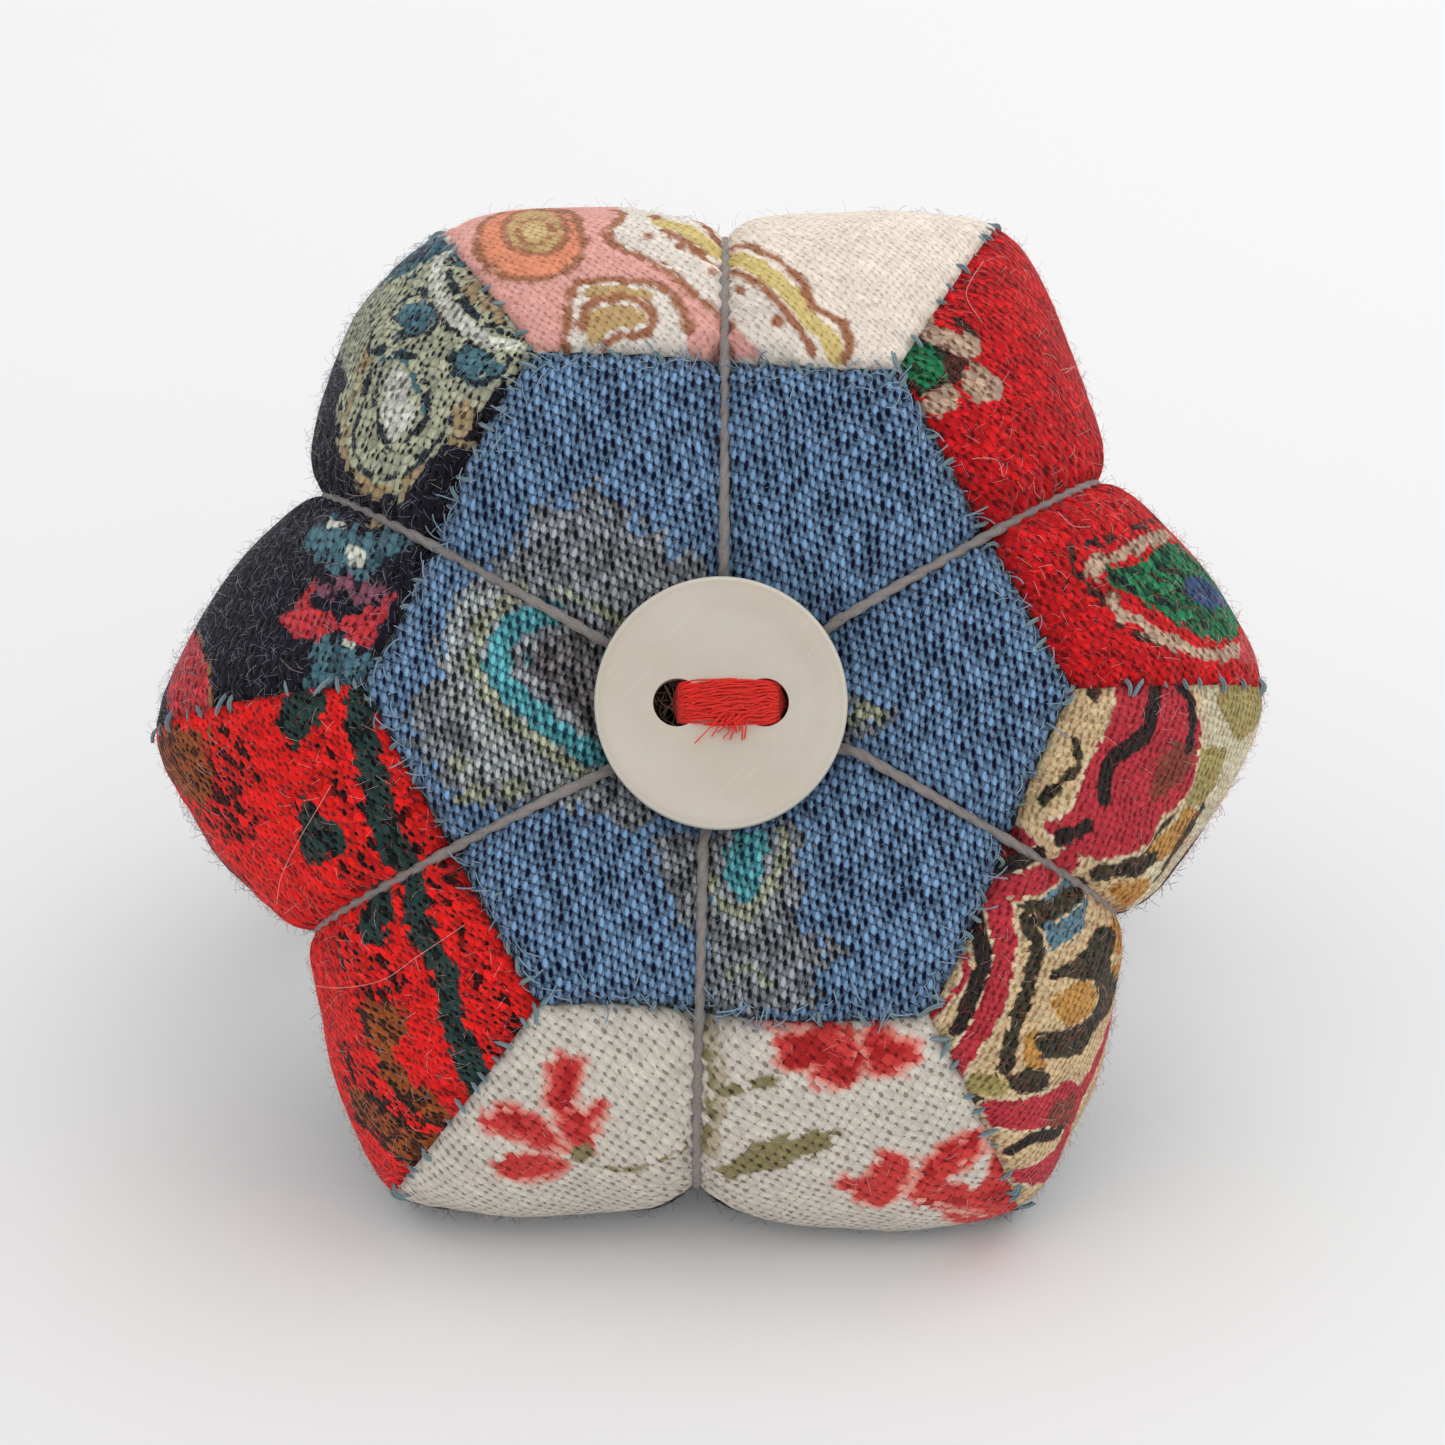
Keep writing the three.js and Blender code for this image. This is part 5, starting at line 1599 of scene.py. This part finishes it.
def whipTree(material):
    tree = Tree("whipStitches")
    pitch = tree.size("Stitch Pitch", 1.8 * mm)
    length = tree.size("Stitch Length", 1.2 * mm)
    radius = tree.size("Strand Radius", 0.08 * mm)
    spread = tree.size("Spread", 0.1 * mm)
    rise = tree.size("Rise", 0.2 * mm)
    depth = tree.size("End Depth", 0.3 * mm)
    wildness = tree.size("Wildness", 0.4)
    share = tree.size("Share Kept", 0.9)
    seed = tree.size("Seed", 7, "NodeSocketInt")
    slide = tree.random(-stitches["slide"], stitches["slide"], seed, 1)
    slide = tree.math("MULTIPLY", slide, tree.math("MULTIPLY", pitch, wildness))
    tangent = tree.make("GeometryNodeInputTangent", {}).outputs[0]
    moved = tree.make("GeometryNodeSetPosition", {"Geometry": tree.line(pitch),
                                                  "Offset": tree.vector("SCALE", tangent, scale=slide)})
    half = tree.math("MULTIPLY", length, 0.5)
    low = tree.math("MULTIPLY", depth, -1.0)
    crest = tree.math("MULTIPLY_ADD", rise, 2.0, depth)
    bows = tree.make("GeometryNodeJoinGeometry", {})
    for side, reach, lift in stitches["strands"]:
        aside = tree.math("MULTIPLY", spread, side)
        end = tree.math("MULTIPLY", half, reach)
        top = tree.joined(0.0, tree.math("MULTIPLY", aside, 0.6), tree.math("MULTIPLY", crest, lift))
        bow = tree.bow(tree.joined(tree.math("MULTIPLY", end, -1.0), aside, low), top,
                       tree.joined(end, tree.math("MULTIPLY", aside, 1.3), low), 6)
        tree.wire(bow, bows, 0)
    stitch = tree.tube(bows.outputs[0], radius, 5)
    stand = tree.make("FunctionNodeAxesToRotation", {0: tree.kept("out"), 1: tree.kept("over")},
                      primary_axis="Z", secondary_axis="X").outputs[0]
    swing = tree.math("MULTIPLY", tree.random(-1.0, 1.0, seed, 2), wildness)
    stand = tree.turned(stand, z=tree.math("ADD", swing, stitches["slant"]))
    stretch = tree.joined(tree.random(*stitches["stretch"], seed, 3), 1.0, 1.0)
    chosen = tree.math("LESS_THAN", tree.random(0.0, 1.0, seed, 4), share)
    return tree.finish(tree.sown(moved.outputs[0], stitch, stand, stretch, Selection=chosen), material)


def makeStitches():
    centre = sheets["patchCentre"]
    ringPick = np.append(np.arange(centre["points"].shape[1]), 0)
    points, normal = (centre[part][:, ringPick] for part in ("points", "normal"))
    seams = [(points[-1], normal[-1], points[-1] - points[-5])]
    for name in sideNames:
        points, normal = sheets[name]["points"], sheets[name]["normal"]
        seams.append((points[:, -1], normal[:, -4], points[:, -1] - points[:, -5]))
        seams.append((points[-1], normal[-4], points[-1] - points[-5]))
    feltSeams = []
    for side in (0, 180):
        turn = np.radians(side + np.linspace(90 - stitches["feltArc"], 90 + stitches["feltArc"], 60))
        rim = felt["radius"] - 0.15
        edge = polar(rim, turn, feltTop(rim * np.sin(turn)) - felt["thickness"] + 0.2)
        feltSeams.append((edge, polar(1.0, turn, -1.0 + 0 * turn), polar(1.0, turn, 1.0 + 0 * turn)))
    tree = whipTree(flossMaterial("stitchThread", stitches["colour"], 0.6, thread["shine"]))
    for name, lines in (("seam", seams), ("felt", feltSeams)):
        piece = grown(seamObject(name + "Stitches", lines), tree, stitches[name], stitches[name + "Shares"])
        settle(piece)


# Wool fuzz: fine curved fibres that stand off each cloth. Per square millimetre, and in mm.
fibreForm = {
    "bend": ((0, 0, -0.1), (0.05, 0, 0.55), (0.55, 0, 0.8)),  # its foot, middle and tip at a length of 1
    "turn": (0.0, 6.283),
    "lean": (0.1, 1.35),
    "stretch": (0.4, 1.6),
    "sides": 3,
    "skip": 3,  # points of the cloth to each point of the surface that it grows from
}
fuzz = {
    "fuzzRed": {"on": ["patchUpperRight", "patchLowerLeft", "patchLowerRight"], "slot": "crimson_print",
                "colour": (206, 66, 68), "density": 3.0, "length": 0.55, "radius": 0.007, "seed": 11},
    "fuzzNavy": {"on": ["backCloth"], "slot": "navy_wool",
                 "colour": (112, 112, 124), "density": 1.5, "length": 0.75, "radius": 0.008, "seed": 12},
    "fuzzInk": {"on": ["patchUpperLeft"], "slot": "navy_print",
                "colour": (146, 148, 172), "density": 4.8, "length": 0.6, "radius": 0.0075, "seed": 17},
    "fuzzBlue": {"on": ["patchCentre"], "slot": "blue_wool",
                 "colour": (130, 162, 194), "density": 1.6, "length": 0.3, "radius": 0.009, "seed": 13},
    "fuzzPale": {"on": ["patchTop", "patchBottom", "patchUpperRight", "patchLowerLeft", "patchUpperLeft",
                        "patchLowerRight"], "slot": "ivory_print",
                 "colour": (226, 200, 192), "density": 0.75, "length": 0.75, "radius": 0.007, "seed": 14},
    "fuzzRim": {"on": ["backCloth"], "rows": (0, 14), "slot": "navy_wool",
                "colour": (104, 102, 110), "density": 3.0, "length": 0.8, "radius": 0.009, "seed": 16},
    "frayedEdge": {"on": ["patchCentre"], "rows": (-7, None), "slot": "blue_wool",
                   "colour": (136, 164, 186), "density": 2.4, "length": 1.1, "radius": 0.035, "seed": 15},
}


def fuzzTree(name, material):
    tree = Tree(name)
    density = tree.size("Fibres Per Square Millimetre", 1.0)
    length = tree.size("Fibre Length", 1.0 * mm)
    radius = tree.size("Fibre Radius", 0.01 * mm)
    seed = tree.size("Seed", 11, "NodeSocketInt")
    spots = tree.make("GeometryNodeDistributePointsOnFaces",
                      {"Mesh": tree.start.outputs["Geometry"], "Seed": seed,
                       "Density": tree.math("MULTIPLY", density, 1e6)})
    bend = [tree.vector("SCALE", at, scale=length) for at in fibreForm["bend"]]
    fibre = tree.tube(tree.bow(*bend, 4), radius, fibreForm["sides"])
    stand = tree.turned(spots.outputs["Rotation"], z=tree.random(*fibreForm["turn"], seed, 1))
    stand = tree.turned(stand, y=tree.random(*fibreForm["lean"], seed, 2))
    stretch = tree.joined(*[tree.random(*fibreForm["stretch"], seed, 3)] * 3)
    return tree.finish(tree.sown(spots.outputs["Points"], fibre, stand, stretch), material)


def makeFuzz():
    for name, kind in fuzz.items():
        points, faces = [], []
        for on in kind["on"]:
            rows = sheets[on]["points"][slice(*kind.get("rows", (None,)))]
            some = rows[::fibreForm["skip"], ::fibreForm["skip"]]
            faces += quads(grid(*some.shape[:2], len(points)), loopCols=sheets[on]["loop"])
            points += toWorld(some).reshape(-1, 3).tolist()
        tree = fuzzTree(name, flossMaterial(name, kind["colour"], 0.4, thread["shine"]))
        piece = grown(newPiece(name, points, faces, smooth=False), tree,
                      {"Fibre Length": kind["length"], "Fibre Radius": kind["radius"]},
                      {"Fibres Per Square Millimetre": kind["density"], "Seed": kind["seed"]})
        settle(piece)
        print(name, len(piece.data.polygons), "faces")


# Long hairs that have worked loose, drawn where the photograph shows them.
looseHairs = {
    "radius": 0.022,
    "lift": 0.22,
    "sway": (0.6, 2.4),  # share of the lift that it goes up and down by, and the turn at each point
    "near": 6,  # points of the cloth that each one is placed by
    "colour": (236, 160, 152),
    "paths": [
        [(331, 785), (318, 808), (295, 846), (284, 875), (277, 900)],
        [(316, 987), (347, 988), (385, 980), (419, 959), (467, 926)],
        [(983, 266), (971, 283), (968, 299), (980, 323)],
        [(1056, 515), (1072, 527), (1089, 528)],
        [(1026, 518), (1039, 508), (1046, 492)],
        [(1031, 482), (1033, 492), (1039, 498)],
        [(973, 459), (985, 456), (996, 462), (999, 475)],
        [(1058, 371), (1068, 367)],
        [(1059, 372), (1067, 369)],
    ],
}


def makeLooseHairs():
    seen = [readyForInk(sheet, True) for sheet in sheets.values()]
    picture, points, normal = (np.concatenate(part) for part in zip(*seen))
    sway, turn = looseHairs["sway"]
    count = looseHairs["near"]
    paths = []
    for path in looseHairs["paths"]:
        line = []
        for i, spot in enumerate(path):
            near = np.argpartition(((picture - spot) ** 2).sum(axis=1), count)[:count]
            lift = looseHairs["lift"] * (1 + sway * math.sin(turn * i))
            line.append(points[near].mean(axis=0) + normal[near].mean(axis=0) * lift)
        paths.append(line)
    coat = flossMaterial("hair", looseHairs["colour"], 0.3, thread["shine"])
    settle(spun("looseHairs", paths, coat, 0.3, 5, looseHairs["radius"]))


button = {
    "radius": 7.6,
    "thickness": 2.0,
    "edgeRound": 0.4,
    "dish": 0.22,
    "dishRadius": 6.1,
    "holeRadius": 1.45,
    "holeSpacing": 5.25,
    "slotWidth": 2.1,
    "slotDepth": 1.0,
    "waist": (0.72, 0.648),  # of the slot's width, below and above its middle
    "bevel": 0.12,
    "bevelAngle": 40,
    "clear": 0.3,
    "segments": 144,
    "holeSegments": 32,
}
button["seat"] = float(facePoint(0.0, faceSweep(0.0, button["radius"]))[2]) + button["clear"]


def capped(name, rings, first, last):
    # a closed shape from rings of points, and a point that closes each end
    index = grid(*rings.shape[:2])
    beside = np.roll(index, -1, axis=1)
    count = index.size
    faces = quads(index, loopCols=True)
    faces += [(count, a, b) for a, b in zip(index[0].tolist(), beside[0].tolist())]
    faces += [(count + 1, b, a) for a, b in zip(index[-1].tolist(), beside[-1].tolist())]
    return newPiece(name, np.concatenate([rings.reshape(-1, 3), [first, last]]), faces)


def lathed(name, profile, segments):
    # a closed turned shape from a profile that runs from the top of its axis to the foot
    profile = np.asarray(profile, float)
    angle = np.arange(segments) * 2 * math.pi / segments
    rings = polar(profile[1:-1, :1], angle, profile[1:-1, 1:] + 0 * angle)
    return capped(name, rings, (0, 0, profile[0, 1]), (0, 0, profile[-1, 1]))


def intoPlace(piece):
    count = len(piece.data.vertices)
    points = np.empty(count * 3)
    piece.data.vertices.foreach_get("co", points)
    piece.data.vertices.foreach_set("co", toWorld(points.reshape(-1, 3)).ravel())
    piece.data.update()


def makeButton():
    low, high = button["seat"], button["seat"] + button["thickness"]
    rounding, reach, out = button["edgeRound"], button["radius"], button["dishRadius"]
    dished = high - button["dish"]
    profile = [(0, dished), (out - 0.8, dished), (out - 0.35, dished + 0.03), (out, high - 0.1),
               (out + 0.35, high - 0.03)]
    for level, turns in ((high - rounding, (math.pi / 2, 0)), (low + rounding, (0, -math.pi / 2))):
        for a in np.linspace(*turns, 7):
            profile.append((reach - rounding + rounding * math.cos(a), level + rounding * math.sin(a)))
    piece = lathed("pearlButton", profile + [(0, low)], button["segments"])
    apart = button["holeSpacing"] / 2
    for side in (-apart, apart):
        bore = button["holeRadius"]
        wall = [(0, high + 1), (bore, high + 1), (bore, low - 1), (0, low - 1)]
        hole = lathed("hole", wall, button["holeSegments"])
        hole.data.transform(Matrix.Translation((side, 0, 0)))
        cutWith(piece, hole)
    half, depth = button["slotWidth"] / 2, high - button["slotDepth"]
    below, above = (half * share for share in button["waist"])
    outline = [(-apart, -half), (0, -below), (apart, -half), (apart, half), (0, above), (-apart, half)]
    rings = np.array([[(x, y, level) for x, y in outline] for level in (high + 1, depth)])
    cutWith(piece, capped("slot", rings, (0, 0, high + 1), (0, 0, depth)))
    bevel = piece.modifiers.new("soften", "BEVEL")
    bevel.width = button["bevel"]
    bevel.segments = 2
    bevel.limit_method = "ANGLE"
    bevel.angle_limit = math.radians(button["bevelAngle"])
    applied(piece)
    piece.data.shade_smooth()
    intoPlace(piece)
    layFlat(piece, toPad([vertex.co for vertex in piece.data.vertices])[:, :2])
    piece.data.materials.clear()
    piece.data.materials.append(pearlMaterial())
    settle(piece, ["button"])


def cutWith(piece, cutter):
    cut = piece.modifiers.new("cut", "BOOLEAN")
    cut.operation = "DIFFERENCE"
    cut.solver = "EXACT"
    cut.object = cutter
    applied(piece)
    old = cutter.data
    bpy.data.objects.remove(cutter)
    bpy.data.meshes.remove(old)


# Red floss: loose strands up one hole, across the bridge and down the other.
floss = {
    "strands": 180,
    "radius": 0.055,
    "spread": 1.0,
    "legs": (-2.6, 3.55),
    "crest": 1.0,
    "tail": 9.0,
    "turns": 0.12,
    "goldenAngle": 2.399963,
    "wander": 0.06,
    "fan": 0.3,  # how much wider the strands lie over the middle
    "wide": 1.12,
    "high": 0.62,
    "sides": 4,
    "step": 0.34,
    "ends": 16,  # cut ones that hang over the bridge
    "hairs": 14,  # dark ones that cross each hole
    "hairRadius": 0.035,
    "hairHalf": 1.3,
    "shine": {"Sheen Weight": 0.6, "Sheen Roughness": 0.4, "Sheen Tint": (1.0, 0.35, 0.3, 1.0),
              "Specular IOR Level": 0.45},
}


def makeFloss():
    rng = np.random.default_rng(31)
    left, right = floss["legs"]
    bridge = button["seat"] + button["thickness"] - button["slotDepth"]
    paths = []
    for i in range(floss["strands"]):
        a = i * floss["goldenAngle"]
        out = floss["spread"] * math.sqrt((i + 0.5) / floss["strands"])
        points = [(left + 0.3 * math.cos(a), 0.3 * math.sin(a), bridge - floss["tail"])]
        points.append((left + 0.4 * math.cos(a), 0.5 * math.sin(a), bridge - 2.0))
        for t in np.linspace(-1, 1, 15):
            swing = a + floss["turns"] * math.pi * t + floss["wander"] * rng.standard_normal()
            fan = 1 + floss["fan"] * (1 - t * t)
            y = out * fan * floss["wide"] * math.sin(swing) + 0.02 * rng.standard_normal()
            z = bridge + floss["crest"] * (1 - abs(t) ** 3.2) - 0.3 + out * floss["high"] * math.cos(swing)
            share = (1 + math.sin(t * math.pi / 2)) / 2
            x = left + (right - left) * share - 0.1 * math.cos(swing) * t
            points.append((x, y, max(z, bridge + 0.1) if abs(t) < 0.75 else z))
        points.append((right + 0.4 * math.cos(a), 0.5 * math.sin(a), bridge - 2.0))
        points.append((right + 0.2 - 0.6 * math.cos(a) ** 2, 0.3 * math.sin(a), bridge - floss["tail"]))
        paths.append(points)
    for i in range(floss["ends"]):
        startX, startY = 1.0 + 0.4 * rng.standard_normal(), -0.5 + 0.2 * rng.standard_normal()
        start = np.array([startX, startY, bridge + 0.9])
        drop = np.array([-0.8 + 0.5 * rng.standard_normal(), -1.25 + 0.25 * rng.standard_normal(), 0.08])
        steps = np.array([0, 0.35, 0.7, 1])[:, None]
        paths.append(start + drop * steps + [0, 0, 0.35] * np.sin(math.pi * steps))
    coat = flossMaterial("flossRed", (246, 42, 32), 0.6, floss["shine"])
    piece = spun("redFloss", paths, coat, floss["step"], floss["sides"], floss["radius"])
    settle(piece, ["button_stitch"])

    paths = []
    for side in (-1, 1):
        for i in range(floss["hairs"]):
            middle = np.array([side * button["holeSpacing"] / 2, 0, button["seat"] + 0.7 * rng.random()])
            a = rng.random() * math.pi
            half = floss["hairHalf"] * np.array([math.cos(a), math.sin(a), 0.0])
            middle[:2] += 0.35 * rng.standard_normal(2)
            bow = 0.4 * rng.standard_normal(3)
            line = np.array([middle - half, middle + bow, middle + half])
            away = line[:, :2] - [side * button["holeSpacing"] / 2, 0]
            far = np.maximum(1, np.hypot(away[:, 0], away[:, 1]) / (button["holeRadius"] - 0.1))
            line[:, :2] -= away * (1 - 1 / far)[:, None]
            paths.append(line)
    coat = flossMaterial("hairBrown", (104, 82, 68), 0.5, thread["shine"])
    settle(spun("holeHairs", paths, coat, 0.25, 4, floss["hairRadius"]))


# The knitted elastic loop, seen along the arm as two flat runs joined by bowed ends.
elastic = {
    "width": 20.0,
    "thickness": 1.2,
    "flatHalf": 19.0,
    "endReach": 8.5,
    "top": -12.3,
    "bottom": -(floorDistance + 0.5 - math.cos(lean) * 10.0) / math.sin(lean),
    "ribs": 13,
    "ribDepth": 0.16,
    "courses": 0.9,
    "courseDepth": 0.05,
    "edgeShare": 0.6,  # of the thickness, that rounds each edge
    "edgeWander": 0.12,
    "edgePitch": 7.3,
    "rows": 420,
    "across": 104,
    "design": {"ground": ((44, 43, 48), (12, 12, 14)), "layers": {}},
}


def loopLine(count):
    # evenly spaced points and outward directions round the middle of the loop's thickness
    middle = (elastic["top"] + elastic["bottom"]) / 2
    half = (elastic["top"] - elastic["bottom"]) / 2 - elastic["thickness"] / 2
    end = elastic["endReach"] - elastic["thickness"] / 2
    flat = elastic["flatHalf"]
    a = np.linspace(-math.pi / 2, math.pi / 2, 200)
    right = np.stack([flat + end * np.cos(a), middle + half * np.sin(a)], axis=-1)
    left = -right + [0, 2 * middle]
    line = np.concatenate([right, left, right[:1]])
    points, at = evenly(line, count, False)
    along = np.roll(points, -1, axis=0) - np.roll(points, 1, axis=0)
    along /= np.linalg.norm(along, axis=1, keepdims=True)
    return points, np.stack([along[:, 1], -along[:, 0]], axis=-1), at


def makeElastic():
    rows, across = elastic["rows"], elastic["across"]
    line, outward, at = loopLine(rows)
    half = elastic["width"] / 2
    thick = elastic["thickness"] / 2
    rounding = thick * elastic["edgeShare"]
    flat = half - rounding
    v = np.linspace(-1, 1, across + 1)
    rim = np.linspace(0, math.pi, 7)[1:-1]
    section = [(y * flat, 1.0, y) for y in v]
    section += [(flat + rounding * math.sin(a), math.cos(a), 1.0) for a in rim]
    section += [(y * flat, -1.0, y) for y in v[::-1]]
    section += [(-flat - rounding * math.sin(a), -math.cos(a), -1.0) for a in rim]
    aside, side, share = np.array(section).T
    ribs = np.cos(share * math.pi * elastic["ribs"])
    face = np.abs(side) > 0.99
    lift = np.where(face, elastic["ribDepth"] * (ribs - 1) / 2, 0.0)
    course = elastic["courseDepth"] * np.sin(2 * math.pi * at[:, None] / elastic["courses"]
                                             + np.where(ribs > 0, 0, math.pi))
    level = side * thick + np.sign(side) * lift
    level = level + np.where(face, np.sign(side), 0.0) * (course - elastic["courseDepth"])
    edge = np.sign(aside) * (np.abs(aside) > half - 1)
    wander = elastic["edgeWander"] * (np.sin(2 * math.pi * at[:, None] / elastic["edgePitch"]) - 1)
    points = np.stack([line[:, 0:1] + outward[:, 0:1] * level, aside + edge * wander,
                       line[:, 1:2] + outward[:, 1:2] * level], axis=-1)
    index = grid(rows, points.shape[1])
    piece = newPiece("elasticLoop", toWorld(pressed(points)), quads(index[:, ::-1], True, True))
    layFlat(piece, np.stack(np.broadcast_arrays(at[:, None], aside), axis=-1))
    mark(piece, "seamAway", np.full(index.size, 9.0))
    piece.data.materials.append(clothMaterial("elasticLoop", ((1, 0), (0, 1)), elastic["design"]))
    settle(piece, ["wrist_elastic"])


def makeFelt():
    angle = np.arange(felt["segments"]) * 2 * math.pi / felt["segments"]
    share = np.linspace(0, 1, felt["rings"] + 1)[1:]
    rim = np.linspace(0, math.pi, 9)[1:-1]
    flat = felt["radius"] - felt["edgeRound"]
    radius = np.concatenate([share * flat, flat + felt["edgeRound"] * np.sin(rim), (share * flat)[::-1]])
    level = np.concatenate([np.zeros(len(share)), (1 - np.cos(rim)) / 2, np.ones(len(share))])
    x = radius[:, None] * np.cos(angle)
    y = radius[:, None] * np.sin(angle)
    bumps = felt["lump"] * np.sin(x * 1.3 + 1.1 * np.sin(y * 0.9))
    bumps = bumps * np.sin(y * 1.1 + 0.7 * np.sin(x * 1.2))
    z = feltTop(y) - felt["thickness"] * level[:, None] + bumps * np.where(level > 0.5, 1, -0.2)[:, None]
    over = felt["overStrap"]
    piece = capped("wristFelt", np.stack([x, y, z], axis=-1), (0, 0, over), (0, 0, over - felt["thickness"]))
    intoPlace(piece)
    piece.data.materials.append(feltMaterial())
    settle(piece, ["wrist_pad"])


bpy.context.scene.view_settings.view_transform = "Standard"
makeCamera()
makeLights()
makeFloor()
print("camera, lights and floor set")
makePatches()
makeFilling()
makeGuard()
makeThread()
makeStitches()
makeFuzz()
makeLooseHairs()
makeButton()
makeFloss()
makeElastic()
makeFelt()
print("pieces made")
